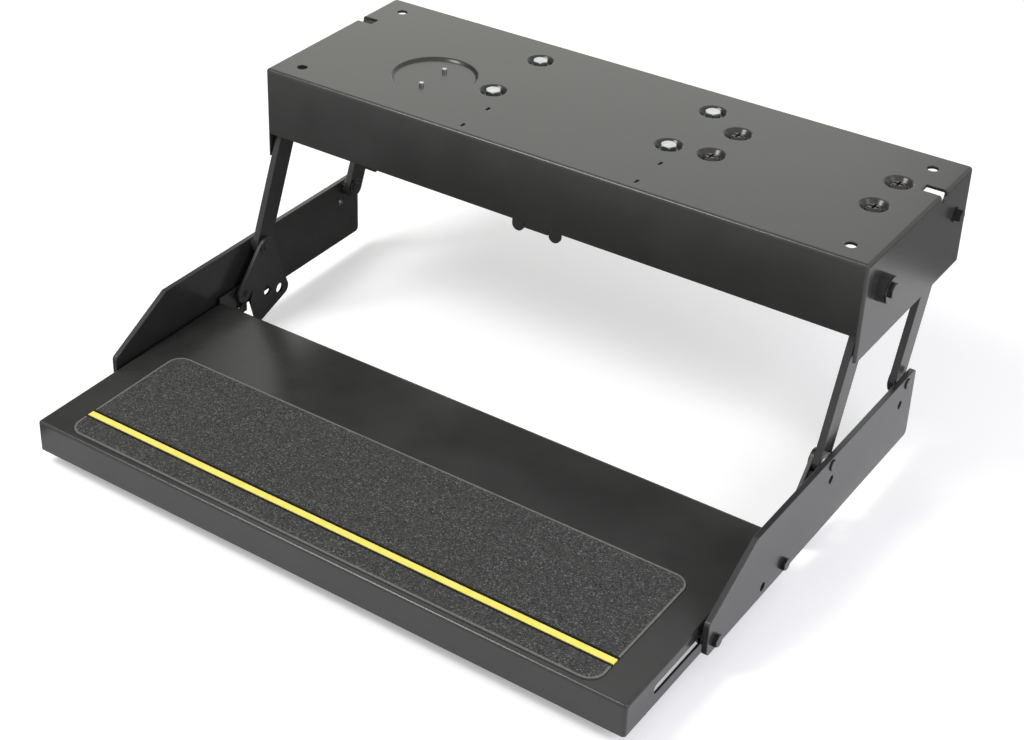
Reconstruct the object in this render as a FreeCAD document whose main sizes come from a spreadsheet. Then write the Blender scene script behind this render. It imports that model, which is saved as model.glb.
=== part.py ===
import FreeCAD, Part
import Sketcher
import math
import os
from types import SimpleNamespace

# Electric entry step. Millimetres, +X to the right, +Y to the rear, +Z up.
# The origin is the middle of the four frame bolts, on the frame's top face.
# The step is modelled fully extended.

# Driving sizes
SIZES = {
    # Frame, one folded sheet that is open behind and below
    "frame_width": 610,
    "frame_depth": 205,
    "frame_side_height": 91.5,
    "apron_height": 67.6,
    "frame_sheet": 2.7,
    "bend_radius": 3,
    "mount_spacing_x": 558,
    "mount_spacing_y": 160,
    "mount_setback": 22.5,
    "mount_radius": 5,
    # Notches at the side bends, measured from the apron and the top face
    "notch_start": 141,
    "notch_length": 12,
    "notch_inboard": 18.5,
    "notch_drop": 9,
    # Tab under the middle of the apron
    "tab_half_width": 25,
    "tab_lobe_width": 12,
    "tab_slot": 1,
    "tab_drop": 10.4,
    "tab_tongue_length": 9,
    # Pressed dimples for the bolts and screws
    "dimple_radius": 12.5,
    "dimple_floor_radius": 8.6,
    "dimple_depth": 4.5,
    "dimple_wall": 1,
    # Soft lip round each dimple and the disc
    "lip_depth": 0.9,
    "lip_inside": 1.03,
    "lip_outside": 0.5,
    # Pressed disc over the sector pedestal
    "disc_radius": 40.5,
    "disc_floor_radius": 38,
    "disc_depth": 2.5,
    # Four-bar linkage on each side
    "pivot_setback": 33.4,
    "pivot_drop": 35,
    "pivot_spacing": 147,
    "arm_length": 152.7,
    "arm_lean": 22.08,
    "arm_width": 22,
    "arm_thickness": 6.35,
    "pin_radius": 4,
    "pivot_clearance": 0.06,
    "frame_washer": 1.9,
    "plate_washer": 2.7,
    "washer_play": 0.1,
    "washer_radius": 9,
    "plate_thickness": 4.8,
    # Front cross shaft and its bearings
    "shaft_radius": 8,
    "bearing_radius": 12,
    "bearing_length": 7.4,
    "end_play": 0.3,
    "end_washer_radius": 11.5,
    "end_washer_thickness": 1.2,
    "end_head_flats": 13,
    "end_head_height": 2.8,
    "hanger_x": 88.7,
    "hanger_sheet": 2.5,
    "hanger_half_depth": 25.4,
    "hanger_shoulder": 8,
    "hanger_rim": 3,
    "hanger_tab_offset": 19.9,
    "hanger_tab_length": 6,
    "hanger_tab_sink": 1.2,
    "slit_clearance": 0.2,
    "bush_radius": 10.5,
    "bush_flange_radius": 13,
    "bush_flange": 1.5,
    # Rear upper pivot bolts
    "pivot_head_flats": 10,
    "pivot_head_height": 5.1,
    "pivot_bolt_washer": 1.6,
    "pivot_bolt_washer_radius": 7,
    "pivot_nut_flats": 13,
    "pivot_nut_height": 5,
    # Side plates, measured from the lower pivots and the slide bolts
    "plate_top_margin": 8.1,
    "plate_rear_margin": 15.5,
    "plate_bottom_margin": 9,
    "plate_front_margin": 13,
    "plate_nose_height": 22.2,
    "plate_slope_back": 132,
    "plate_corner_radius": 4.5,
    "plate_hole_radius": 4,
    "plate_front_hole_drop": 14.5,
    "plate_rear_hole_drop": 15.5,
    "plate_rear_hole_inset": 12,
    "plate_middle_hole": 112.7,
    "rivet_head_radius": 5,
    "rivet_head_height": 1.2,
    "rivet_washer_radius": 9,
    "rivet_washer_thickness": 1,
    # Slide bolts and bushes
    "slide_drop": 51.9,
    "slide_front": 190,
    "slide_spacing": 113.5,
    "slide_travel": 72.6,
    "slide_bolt_radius": 3,
    "slide_head_flats": 10,
    "slide_head_height": 3.6,
    "slide_bush_radius": 4.15,
    "slide_bush_flange_radius": 8,
    "slide_clearance": 0.12,
    "slide_end_room": 0.8,
    "slide_washer_thickness": 1.5,
    "slide_nut_flats": 10,
    "slide_nut_height": 5,
    "thread_end": 1,
    # Tread, measured from the side plates, the front lower pivot and the slide bolts
    "tread_side_gap": 4.2,
    "tread_back_room": 61.6,
    "tread_nose": 46,
    "tread_height": 30.4,
    "tread_sheet": 2,
    "tread_drop": 36.7,
    "ear_margin": 5.05,
    "ear_rise": 5.2,
    "ear_bottom_room": 3.6,
    # Grip mat and stripe on the tread
    "mat_side_margin": 30.6,
    "mat_front": 6.6,
    "mat_depth": 145,
    "mat_thickness": 1.2,
    "mat_corner_radius": 14,
    "stripe_front": 32.2,
    "stripe_width": 6.4,
    "stripe_gap": 0.8,
    # Slide levers, measured from the front lower pivot
    "lever_gap": 0.35,
    "lever_thickness": 3.2,
    "lever_pivot_radius": 9.25,
    "lever_notch_front": 24.9,
    "lever_notch_drop": 50.4,
    "lever_toe_front": 16.9,
    "lever_toe_drop": 79.2,
    "lever_tip_radius": 2,
    "lever_heel_back": 22.5,
    "lever_heel_drop": 58.8,
    "lever_heel_radius": 8,
    "lever_hole_radius": 5.5,
    "lever_front_hole": 1.1,
    "lever_front_hole_drop": 50.7,
    "lever_back_hole": 17.5,
    "lever_back_hole_drop": 57,
    "slide_pin_reach": 52,
    "slide_pin_angle": 43,
    "slide_eye_radius": 9,
    "slide_pin_play": 1.25,
    "slide_pin_head_radius": 6.5,
    "slide_pin_room": 1.2,
    "slide_pin_head_room": 0.6,
    # Drive: pinion, toothed sector, crank, rod and shaft lever
    "gear_module": 2,
    "sector_full_teeth": 32,
    "sector_teeth": 10,
    "pinion_teeth": 14,
    "mesh_angle": 97,
    "tooth_backlash": 0.2,
    "gear_thickness": 8,
    "pinion_width": 11,
    "sector_shaft_radius": 7,
    "sector_drop": 46,
    "crank_reach": 36,
    "crank_angle": 32,
    "crank_hub_radius": 12.5,
    "sector_hub_radius": 12,
    "crank_eye_radius": 9,
    "crank_thickness": 7,
    "rod_thickness": 6,
    "rod_eye_radius": 9,
    "drive_gap": 0.35,
    "clip_thickness": 1.2,
    "barrel_length": 26,
    "barrel_radius": 14,
    "pedestal_foot": 4,
    "pedestal_foot_radius": 30,
    "pedestal_post_width": 18,
    "stud_radius": 2.2,
    "stud_front": 21.4,
    "stud_rear": 15.7,
    "stud_nut_flats": 7,
    "stud_nut_height": 3.2,
    "stud_rise": 3.3,
    # Gearmotor along X under the four zinc bolts
    "motor_bolt_left": -106.5,
    "motor_bolt_room": 38.5,
    "motor_bolt_front": 88,
    "motor_bolt_spacing_y": 80,
    "motor_radius": 27,
    "cradle_sheet": 3,
    "cradle_left": 29.5,
    "cradle_right": 15,
    "cradle_half_depth": 49,
    "cradle_face_height": 64,
    "gearbox_length": 58,
    "unit_room": 14,
    "motor_can_step": 1,
    "motor_cap_length": 11,
    "gland_length": 5.5,
    "spigot_radius": 12,
    "pinion_shaft_radius": 6,
    "strap_width": 22,
    "strap_sheet": 2,
    "zinc_bolt_radius": 4,
    "zinc_head_flats": 13,
    "zinc_head_height": 5.3,
    "zinc_bolt_length": 22,
    "zinc_nut_height": 6.5,
    "screw_clearance": 0.1,
    # Control unit under the four dark screws
    "screw_inset": 39,
    "screw_spacing_x": 150.5,
    "screw_front": 94,
    "screw_spacing_y": 48.5,
    "screw_radius": 2.5,
    "screw_head_radius": 8.2,
    "screw_shoulder_radius": 7.4,
    "screw_crown_radius": 4.8,
    "screw_shoulder_height": 1.5,
    "screw_head_height": 3.2,
    "screw_length": 16,
    "cross_width": 1.9,
    "cross_length": 9,
    "cross_depth": 1.9,
    "unit_end_margin": 8,
    "unit_half_depth": 35,
    "unit_height": 27,
    "unit_ear_thickness": 3,
    "unit_ear_margin": 9,
    "unit_nut_flats": 8,
    "unit_nut_height": 4,
    "socket_length": 14,
    "socket_depth": 30,
    "socket_height": 16,
    "socket_rise": 2,
    "socket_wall": 2,
    # Rubber stop for the shaft lever
    "stop_width": 14,
    "stop_height": 12,
    "stop_gap": 0.3,
}

doc = FreeCAD.newDocument("electric_rv_step")
sheet = doc.addObject("Spreadsheet::Sheet", "Sizes")
for row, (alias, number) in enumerate(SIZES.items(), start=1):
    sheet.set(f"A{row}", str(number))
    sheet.setAlias(f"A{row}", alias)
doc.recompute()

Vector = FreeCAD.Vector
Rotation = FreeCAD.Rotation


class Size:
    """A number together with the sheet formula that it comes from."""

    def __init__(self, number, formula):
        self.number = number
        self.formula = formula

    def joined(self, sign, other, number, swap=False):
        first, second = (other, self) if swap else (self, other)
        return Size(number, f"({first.formula} {sign} {second.formula})")

    def __add__(self, other):
        other = as_size(other)
        return self.joined("+", other, self.number + other.number)

    def __sub__(self, other):
        other = as_size(other)
        return self.joined("-", other, self.number - other.number)

    def __mul__(self, other):
        other = as_size(other)
        return self.joined("*", other, self.number * other.number)

    def __truediv__(self, other):
        other = as_size(other)
        return self.joined("/", other, self.number / other.number)

    def __radd__(self, other):
        return as_size(other) + self

    def __rsub__(self, other):
        return as_size(other) - self

    def __rmul__(self, other):
        return as_size(other) * self

    def __neg__(self):
        return Size(-self.number, f"(-{self.formula})")


def as_size(term):
    """Plain numbers join a formula as they are."""
    if isinstance(term, Size):
        return term
    return Size(float(term), f"({float(term)})")


def sine(angle):
    angle = as_size(angle)
    return Size(math.sin(math.radians(angle.number)), f"sin({angle.formula})")


def cosine(angle):
    angle = as_size(angle)
    return Size(math.cos(math.radians(angle.number)), f"cos({angle.formula})")


def arc_tangent(ratio):
    return Size(math.degrees(math.atan(ratio.number)), f"(atan({ratio.formula}) / 1deg)")


def root(square):
    return Size(math.sqrt(square.number), f"sqrt({square.formula})")


s = SimpleNamespace(**{alias: Size(float(sheet.get(alias)), f"Sizes.{alias}") for alias in SIZES})

# Places worked out from the sizes
AXIS_TURN = {"X": ((0, 1, 0), 90), "Y": ((1, 0, 0), -90), "Z": ((0, 0, 1), 0)}
HEX_CORNER = 2 / math.sqrt(3)
CUT_ROOM = 2
LAP = 1
# Turned corners of a bolt head: crown across the flats, and a 30 degree slope
HEAD_CROWN = 0.95
HEAD_SLOPE = math.sqrt(3)

frame_half = s.frame_width / 2
frame_inner = frame_half - s.frame_sheet
apron_y = -(s.mount_spacing_y / 2 + s.mount_setback)
rear_y = apron_y + s.frame_depth
sheet_under = -s.frame_sheet

arm_outer = frame_inner - s.frame_washer
arm_inner = arm_outer - s.arm_thickness
plate_inner = arm_outer + s.plate_washer
plate_outer = plate_inner + s.plate_thickness
lever_outer = arm_inner - s.lever_gap
lever_inner = lever_outer - s.lever_thickness

upper_front_y = apron_y + s.pivot_setback
upper_rear_y = upper_front_y + s.pivot_spacing
upper_z = -s.pivot_drop
lower_front_y = upper_front_y - s.arm_length * sine(s.arm_lean)
lower_rear_y = lower_front_y + s.pivot_spacing
lower_z = upper_z - s.arm_length * cosine(s.arm_lean)
bore_radius = s.pin_radius + s.pivot_clearance

slide_front_y = lower_front_y - s.slide_front
slide_rear_y = slide_front_y + s.slide_spacing
slide_z = lower_z - s.slide_drop
tread_half = plate_inner - s.tread_side_gap
tread_wall = tread_half - s.tread_sheet
tread_front_y = slide_front_y - s.slide_travel - s.tread_nose
tread_back_y = lower_front_y - s.tread_back_room
mat_half_width = tread_half - s.mat_side_margin
tread_top_z = lower_z - s.tread_drop
tread_bottom_z = tread_top_z - s.tread_height

slide_pin_y = lower_front_y - s.slide_pin_reach * sine(s.slide_pin_angle)
slide_pin_z = lower_z - s.slide_pin_reach * cosine(s.slide_pin_angle)

screw_left_x = frame_half - s.screw_inset - s.screw_spacing_x
unit_left_x = screw_left_x + s.unit_end_margin
motor_y = apron_y + s.motor_bolt_front + s.motor_bolt_spacing_y / 2
gear_distance = s.gear_module * (s.sector_full_teeth + s.pinion_teeth) / 2
sector_y = motor_y - gear_distance * sine(s.mesh_angle)
sector_z = -s.sector_drop
motor_z = sector_z - gear_distance * cosine(s.mesh_angle)
motor_bolt_right = screw_left_x - s.motor_bolt_room
dimple_floor_z = -s.dimple_depth
dimple_under_z = -(s.dimple_depth + s.frame_sheet)
cradle_under_z = dimple_under_z - s.cradle_sheet
cradle_face_x = s.motor_bolt_left - s.cradle_left
gearbox_end_x = cradle_face_x + s.cradle_sheet + s.gearbox_length
motor_end_x = unit_left_x - s.unit_room - s.gland_length - s.motor_cap_length
motor_length = motor_end_x - gearbox_end_x
# The gears, pedestal, crank and rod stand in a row to the left of the cradle's face
sector_right_x = cradle_face_x - s.pinion_width
sector_left_x = sector_right_x - s.gear_thickness
barrel_right_x = sector_left_x - s.drive_gap
barrel_left_x = barrel_right_x - s.barrel_length
crank_right_x = barrel_left_x - s.drive_gap
crank_left_x = crank_right_x - s.crank_thickness
rod_right_x = crank_left_x - s.drive_gap
rod_left_x = rod_right_x - s.rod_thickness
clip_right_x = rod_left_x - s.drive_gap
clip_left_x = clip_right_x - s.clip_thickness
disc_x = (barrel_left_x + barrel_right_x) / 2
disc_under_z = -(s.disc_depth + s.frame_sheet)
foot_under_z = disc_under_z - s.pedestal_foot
shaft_reach = frame_half + s.bearing_length


# Modelling helpers: each shape's sizes and place are bound to the sheet
def bind(item, path, size):
    item.setExpression(path, as_size(size).formula)


def place(item, position, turn_axis=(0, 0, 1), turn=0):
    """Put an item at a bound position, turned about one axis."""
    x, y, z = (as_size(value) for value in position)
    turn = as_size(turn)
    item.Placement = FreeCAD.Placement(
        Vector(x.number, y.number, z.number), Rotation(Vector(*turn_axis), turn.number)
    )
    bind(item, "Placement.Base.x", x)
    bind(item, "Placement.Base.y", y)
    bind(item, "Placement.Base.z", z)
    if "Sizes" in turn.formula:
        bind(item, "Placement.Rotation.Angle", turn)


def box(name, corner, length, depth, height):
    """A block from its lowest corner."""
    item = doc.addObject("Part::Box", name)
    bind(item, "Length", length)
    bind(item, "Width", depth)
    bind(item, "Height", height)
    place(item, corner)
    return item


def cylinder(name, axis, start, length, radius):
    item = doc.addObject("Part::Cylinder", name)
    bind(item, "Radius", radius)
    bind(item, "Height", length)
    place(item, start, *AXIS_TURN[axis])
    return item


def cone(name, start, length, low_radius, high_radius, axis="Z"):
    item = doc.addObject("Part::Cone", name)
    bind(item, "Radius1", low_radius)
    bind(item, "Radius2", high_radius)
    bind(item, "Height", length)
    place(item, start, *AXIS_TURN[axis])
    return item


def hexagon(name, axis, start, length, across_flats):
    item = doc.addObject("Part::Prism", name)
    item.Polygon = 6
    bind(item, "Circumradius", across_flats * HEX_CORNER / 2)
    bind(item, "Height", length)
    place(item, start, *AXIS_TURN[axis])
    return item


def fuse(name, *items):
    item = doc.addObject("Part::MultiFuse", name)
    item.Shapes = list(items)
    item.Refine = True
    return item


def cut(name, base, *tools):
    item = doc.addObject("Part::Cut", name)
    item.Base = base
    item.Tool = tools[0] if len(tools) == 1 else fuse(name + "_tools", *tools)
    item.Refine = True
    return item


def bolt_head(name, axis, start, length, across_flats, outward=1):
    """A hexagon with the corners turned off at its outer end."""
    crown = across_flats * (HEAD_CROWN / 2)
    root_radius = crown + length * HEAD_SLOPE
    low_radius, high_radius = (root_radius, crown) if outward > 0 else (crown, root_radius)
    item = doc.addObject("Part::Common", name)
    item.Base = hexagon(name + "_hexagon", axis, start, length, across_flats)
    item.Tool = cone(name + "_turning", start, length, low_radius, high_radius, axis)
    return item


def group(name, *items):
    """Like pieces that share one node as separate solids."""
    item = doc.addObject("Part::Compound", name)
    item.Links = list(items)
    return item


def ring(name, axis, start, length, radius, bore):
    """A washer, bush or tube."""
    outside = cylinder(name + "_outside", axis, start, length, radius)
    inside = cylinder(name + "_inside", axis, start, length, bore)
    return cut(name, outside, inside)


def nut(name, axis, start, length, across_flats, bore):
    outside = hexagon(name + "_outside", axis, start, length, across_flats)
    inside = cylinder(name + "_inside", axis, start, length, bore)
    return cut(name, outside, inside)


def new_body(name):
    return doc.addObject("PartDesign::Body", name)


def new_sketch(body, role, name, offset=0):
    """A sketch on one of the body's own origin planes, moved along its normal."""
    sketch = body.newObject("Sketcher::SketchObject", name)
    plane = [item for item in body.Origin.OriginFeatures if item.Role == role][0]
    sketch.AttachmentSupport = (plane, "")
    sketch.MapMode = "FlatFace"
    sketch.AttachmentOffset = FreeCAD.Placement(Vector(0, 0, as_size(offset).number), Rotation())
    bind(sketch, "AttachmentOffset.Base.z", offset)
    return sketch


def pin_point(sketch, geometry, point, across, up):
    """Fix one sketch point by its bound distances from the origin."""
    for kind, size in (("DistanceX", across), ("DistanceY", up)):
        size = as_size(size)
        index = sketch.addConstraint(
            Sketcher.Constraint(kind, -1, 1, geometry, point, size.number)
        )
        bind(sketch, f"Constraints[{index}]", size)


def draw_outline(sketch, corners):
    """A closed outline of straight lines through bound corners."""
    points = [Vector(as_size(a).number, as_size(b).number, 0) for a, b in corners]
    count = len(points)
    first = sketch.GeometryCount
    for index in range(count):
        sketch.addGeometry(Part.LineSegment(points[index], points[(index + 1) % count]), False)
    for index in range(count):
        following = first + (index + 1) % count
        sketch.addConstraint(Sketcher.Constraint("Coincident", first + index, 2, following, 1))
    for index, (across, up) in enumerate(corners):
        pin_point(sketch, first + index, 1, across, up)


def draw_rectangle(sketch, left, low, right, high):
    draw_outline(sketch, [(left, low), (right, low), (right, high), (left, high)])


def draw_circle(sketch, across, up, radius):
    across, up, radius = as_size(across), as_size(up), as_size(radius)
    middle = Vector(across.number, up.number, 0)
    index = sketch.addGeometry(Part.Circle(middle, Vector(0, 0, 1), radius.number), False)
    pin_point(sketch, index, 3, across, up)
    limit = sketch.addConstraint(Sketcher.Constraint("Radius", index, radius.number))
    bind(sketch, f"Constraints[{limit}]", radius)


def pad(body, sketch, length, reverse=False):
    feature = body.newObject("PartDesign::Pad", sketch.Name + "_pad")
    feature.Profile = sketch
    feature.Reversed = reverse
    bind(feature, "Length", length)
    doc.recompute()
    return feature


def pocket(body, sketch, length, reverse=False):
    """Cut a sketch into the body; the direction is proved by the volume that goes."""
    before = body.Shape.Volume
    feature = body.newObject("PartDesign::Pocket", sketch.Name + "_pocket")
    feature.Profile = sketch
    feature.Reversed = reverse
    bind(feature, "Length", length)
    doc.recompute()
    if not feature.Shape.Volume < before:
        raise ValueError(f"{feature.Name} cuts nothing")
    return feature


def round_edges(body, feature, radius, wanted):
    """Fillet the straight edges for which wanted(middle, direction) holds."""
    names = []
    for index, edge in enumerate(feature.Shape.Edges, start=1):
        if edge.Curve.TypeId != "Part::GeomLine":
            continue
        ends = [vertex.Point for vertex in edge.Vertexes]
        middle = (ends[0] + ends[1]) / 2
        direction = ends[1] - ends[0]
        if wanted(middle, direction):
            names.append(f"Edge{index}")
    fillet = body.newObject("PartDesign::Fillet", feature.Name + "_round")
    fillet.Base = (feature, names)
    bind(fillet, "Radius", radius)
    doc.recompute()
    return fillet


def is_along(direction, index):
    return abs(direction[index]) > 0.999 * direction.Length


def link_plate(name, length, top_radius, low_radius, top_bore, low_bore, thickness):
    """A flat link that hangs from its upper eye along -Z, pads along +X."""
    length, top_radius, low_radius = as_size(length), as_size(top_radius), as_size(low_radius)
    body = new_body(name)
    sketch = new_sketch(body, "YZ_Plane", name + "_outline")
    lean = (top_radius.number - low_radius.number) / length.number
    side = math.sqrt(1 - lean * lean)
    right = math.atan2(-lean, side)
    left = math.atan2(-lean, -side) % (2 * math.pi)
    normal = Vector(0, 0, 1)
    top = Vector(0, 0, 0)
    low = Vector(0, -length.number, 0)

    def rim(middle, radius, angle):
        return middle + Vector(math.cos(angle), math.sin(angle), 0) * radius.number

    top_arc = Part.ArcOfCircle(Part.Circle(top, normal, top_radius.number), right, left)
    low_circle = Part.Circle(low, normal, low_radius.number)
    low_arc = Part.ArcOfCircle(low_circle, left, right + 2 * math.pi)
    left_side = Part.LineSegment(rim(top, top_radius, left), rim(low, low_radius, left))
    right_side = Part.LineSegment(rim(low, low_radius, right), rim(top, top_radius, right))
    for curve in (top_arc, left_side, low_arc, right_side):
        sketch.addGeometry(curve, False)
    for index in range(4):
        following = (index + 1) % 4
        sketch.addConstraint(Sketcher.Constraint("Tangent", index, 2, following, 1))
    pin_point(sketch, 0, 3, 0, 0)
    pin_point(sketch, 2, 3, 0, -length)
    for index, radius in ((0, top_radius), (2, low_radius)):
        limit = sketch.addConstraint(Sketcher.Constraint("Radius", index, radius.number))
        bind(sketch, f"Constraints[{limit}]", radius)
    draw_circle(sketch, 0, 0, top_bore)
    draw_circle(sketch, 0, -length, low_bore)
    pad(body, sketch, thickness)
    return body


nodes = []


def keep(name, item):
    """Name a finished sub-part; the name is its file's name too."""
    item.Label = name
    nodes.append(item)
    return item


def on_sides(inner, outer):
    """The lower X of a piece between two distances from the middle, per side."""
    return (("left", -outer), ("right", inner))


# Step frame
def build_step_frame():
    body = new_body("frame_shell")
    plan = new_sketch(body, "XY_Plane", "frame_plan")
    draw_rectangle(plan, -frame_half, apron_y, frame_half, rear_y)
    block = pad(body, plan, s.frame_side_height, reverse=True)
    top = -0.01
    front = apron_y.number + 0.01
    back = rear_y.number - 0.01

    def is_bend(middle, direction):
        upper = middle.z > top and middle.y < back
        corner = is_along(direction, 2) and middle.y < front
        return upper or corner

    round_edges(body, block, s.bend_radius, is_bend)
    inside = new_sketch(body, "XY_Plane", "frame_inside", sheet_under)
    inside_front = apron_y + s.frame_sheet
    draw_rectangle(inside, -frame_inner, inside_front, frame_inner, rear_y + CUT_ROOM)
    pocket(body, inside, s.frame_side_height)
    below = new_sketch(body, "XZ_Plane", "apron_cut", -(apron_y - CUT_ROOM))
    low_edge = -(s.frame_side_height + CUT_ROOM)
    draw_rectangle(below, -frame_inner, low_edge, frame_inner, -s.apron_height)
    pocket(body, below, s.frame_sheet + 2 * CUT_ROOM)

    # Tab under the apron: two round lobes and a tongue bent back between them
    added = [body]
    lobe_radius = s.tab_lobe_width / 2
    lobe_low_z = -(s.apron_height + s.tab_drop) + lobe_radius
    for side in (-1, 1):
        middle_x = side * (s.tab_half_width - lobe_radius)
        added.append(box("tab_lobe", (middle_x - lobe_radius, apron_y, lobe_low_z),
                         s.tab_lobe_width, s.frame_sheet, -s.apron_height + LAP - lobe_low_z))
        added.append(cylinder("tab_lobe_end", "Y", (middle_x, apron_y, lobe_low_z),
                              s.frame_sheet, lobe_radius))
    tongue_half = s.tab_half_width - s.tab_lobe_width - s.tab_slot
    tongue_z = -(s.apron_height + s.tab_drop / 2)
    added.append(box("tab_web", (-tongue_half, apron_y, tongue_z),
                     2 * tongue_half, s.frame_sheet, -s.apron_height + LAP - tongue_z))
    added.append(box("tab_tongue", (-tongue_half, apron_y, tongue_z),
                     2 * tongue_half, s.tab_tongue_length, s.frame_sheet))

    cuts = []
    for x in (-s.mount_spacing_x / 2, s.mount_spacing_x / 2):
        for y in (-s.mount_spacing_y / 2, s.mount_spacing_y / 2):
            cuts.append(cylinder("mount_hole", "Z", (x, y, sheet_under - CUT_ROOM),
                                 s.frame_sheet + 2 * CUT_ROOM, s.mount_radius))
    dimples = [(x, y, s.zinc_bolt_radius) for x, y in zinc_bolt_places()]
    dimples += [(x, y, s.screw_radius) for x, y in screw_places()]
    for x, y, shank in dimples:
        added.append(cone("dimple_under", (x, y, dimple_under_z),
                          s.dimple_depth + s.frame_sheet / 2,
                          s.dimple_floor_radius + s.dimple_wall,
                          s.dimple_radius + s.dimple_wall))
        cuts.append(cone("dimple_dish", (x, y, dimple_floor_z), s.dimple_depth,
                         s.dimple_floor_radius, s.dimple_radius))
        cuts.append(cone("dimple_lip", (x, y, -s.lip_depth), s.lip_depth,
                         s.dimple_radius - s.lip_inside, s.dimple_radius + s.lip_outside))
        cuts.append(cylinder("dimple_hole", "Z", (x, y, dimple_under_z - CUT_ROOM),
                             s.frame_sheet + 2 * CUT_ROOM, shank + s.screw_clearance))
    added.append(cone("disc_under", (disc_x, sector_y, disc_under_z),
                      s.disc_depth + s.frame_sheet / 2, s.disc_floor_radius + s.dimple_wall,
                      s.disc_radius + s.dimple_wall))
    cuts.append(cone("disc_dish", (disc_x, sector_y, -s.disc_depth), s.disc_depth,
                     s.disc_floor_radius, s.disc_radius))
    cuts.append(cone("disc_lip", (disc_x, sector_y, -s.lip_depth), s.lip_depth,
                     s.disc_radius - s.lip_inside, s.disc_radius + s.lip_outside))
    for x, y in stud_places():
        cuts.append(cylinder("stud_hole", "Z", (x, y, disc_under_z - CUT_ROOM),
                             s.frame_sheet + 2 * CUT_ROOM, s.stud_radius + s.screw_clearance))
    slit_length = s.hanger_tab_length + 2 * s.slit_clearance
    slit_width = s.hanger_sheet + 2 * s.slit_clearance
    for x in (-s.hanger_x, s.hanger_x):
        for y in (upper_front_y - s.hanger_tab_offset, upper_front_y + s.hanger_tab_offset):
            cuts.append(box("slit", (x - slit_width / 2, y - slit_length / 2,
                                     sheet_under - CUT_ROOM),
                            slit_width, slit_length, s.frame_sheet + 2 * CUT_ROOM))
    notch_radius = s.notch_length / 2
    notch_y = apron_y + s.notch_start
    for side, x in on_sides(frame_half - s.notch_inboard, frame_half + CUT_ROOM):
        reach = s.notch_inboard + CUT_ROOM
        low_z = -s.notch_drop + notch_radius
        cuts.append(box(f"notch_{side}", (x, notch_y, low_z), reach, s.notch_length,
                        CUT_ROOM - low_z))
        cuts.append(cylinder(f"notch_end_{side}", "X", (x, notch_y + notch_radius, low_z),
                             reach, notch_radius))
    for y, radius in ((upper_front_y, s.bearing_radius), (upper_rear_y, s.pin_radius)):
        cuts.append(cylinder("pivot_hole", "X", (-frame_half - CUT_ROOM, y, upper_z),
                             s.frame_width + 2 * CUT_ROOM, radius + s.pivot_clearance))
    keep("step_frame", cut("step_frame_cut", fuse("step_frame_sheet", *added), *cuts))


def zinc_bolt_places():
    """The four bolts that hold the motor cradle."""
    front = apron_y + s.motor_bolt_front
    return [(x, y) for x in (s.motor_bolt_left, motor_bolt_right)
            for y in (front, front + s.motor_bolt_spacing_y)]


def screw_places():
    """The four screws that hold the control unit."""
    front = apron_y + s.screw_front
    return [(x, y) for x in (screw_left_x, screw_left_x + s.screw_spacing_x)
            for y in (front, front + s.screw_spacing_y)]


def stud_places():
    """The two studs that hold the sector pedestal."""
    return [(disc_x, sector_y - s.stud_front), (disc_x, sector_y + s.stud_rear)]


# Front cross shaft: bearings in the frame's sides, two hangers under its top
def build_shaft_supports():
    bore = s.shaft_radius + s.pivot_clearance
    bearing_start = frame_inner - s.frame_washer + s.washer_play
    for side, x in on_sides(bearing_start, shaft_reach):
        barrel = cylinder(f"bearing_barrel_{side}", "X", (x, upper_front_y, upper_z),
                          shaft_reach - bearing_start, s.bearing_radius)
        hole = cylinder(f"bearing_bore_{side}", "X", (x, upper_front_y, upper_z),
                        shaft_reach - bearing_start, bore)
        keep(f"shaft_bearing_{side}", cut(f"shaft_bearing_{side}_turned", barrel, hole))

    bushes = []
    hanger_top = sheet_under
    tab_rise = s.frame_sheet - s.hanger_tab_sink
    shoulder_z = hanger_top - s.hanger_shoulder
    for side, middle_x in (("left", -s.hanger_x), ("right", s.hanger_x)):
        x = middle_x - s.hanger_sheet / 2
        body = new_body(f"hanger_blank_{side}")
        sketch = new_sketch(body, "YZ_Plane", f"hanger_outline_{side}")
        half = s.hanger_half_depth
        waist = s.bush_flange_radius + s.hanger_rim
        low = -s.pivot_drop - s.bush_flange_radius - s.hanger_rim
        draw_outline(sketch, [
            (-half, hanger_top), (-half, shoulder_z), (-waist, -s.pivot_drop),
            (-waist / 2, low), (waist / 2, low), (waist, -s.pivot_drop),
            (half, shoulder_z), (half, hanger_top)])
        blank = pad(body, sketch, s.hanger_sheet)
        corners_below = shoulder_z.number - 0.01

        def is_low_corner(middle, direction):
            return is_along(direction, 0) and middle.z < corners_below

        round_edges(body, blank, s.bend_radius, is_low_corner)
        place(body, (x, upper_front_y, 0))
        tabs = []
        for offset in (-s.hanger_tab_offset, s.hanger_tab_offset):
            y = upper_front_y + offset - s.hanger_tab_length / 2
            tabs.append(box("hanger_tab", (x, y, hanger_top), s.hanger_sheet,
                            s.hanger_tab_length, tab_rise))
        eye = cylinder("hanger_eye", "X", (x, upper_front_y, upper_z), s.hanger_sheet,
                       s.bush_radius)
        keep(f"shaft_hanger_{side}", cut(f"hanger_{side}", fuse("hanger_blank", body, *tabs), eye))
        sleeve = cylinder("bush_sleeve", "X", (x, upper_front_y, upper_z),
                          s.hanger_sheet + s.bush_flange, s.bush_radius)
        flange = cylinder("bush_flange", "X", (x - s.bush_flange, upper_front_y, upper_z),
                          s.bush_flange, s.bush_flange_radius)
        hole = cylinder("bush_bore", "X", (x - s.bush_flange, upper_front_y, upper_z),
                        s.hanger_sheet + 2 * s.bush_flange, bore)
        bushes.append(cut(f"hanger_bush_{side}", fuse("bush_turned", sleeve, flange), hole))
    keep("hanger_bushes", group("hanger_bush_pair", *bushes))


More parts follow.
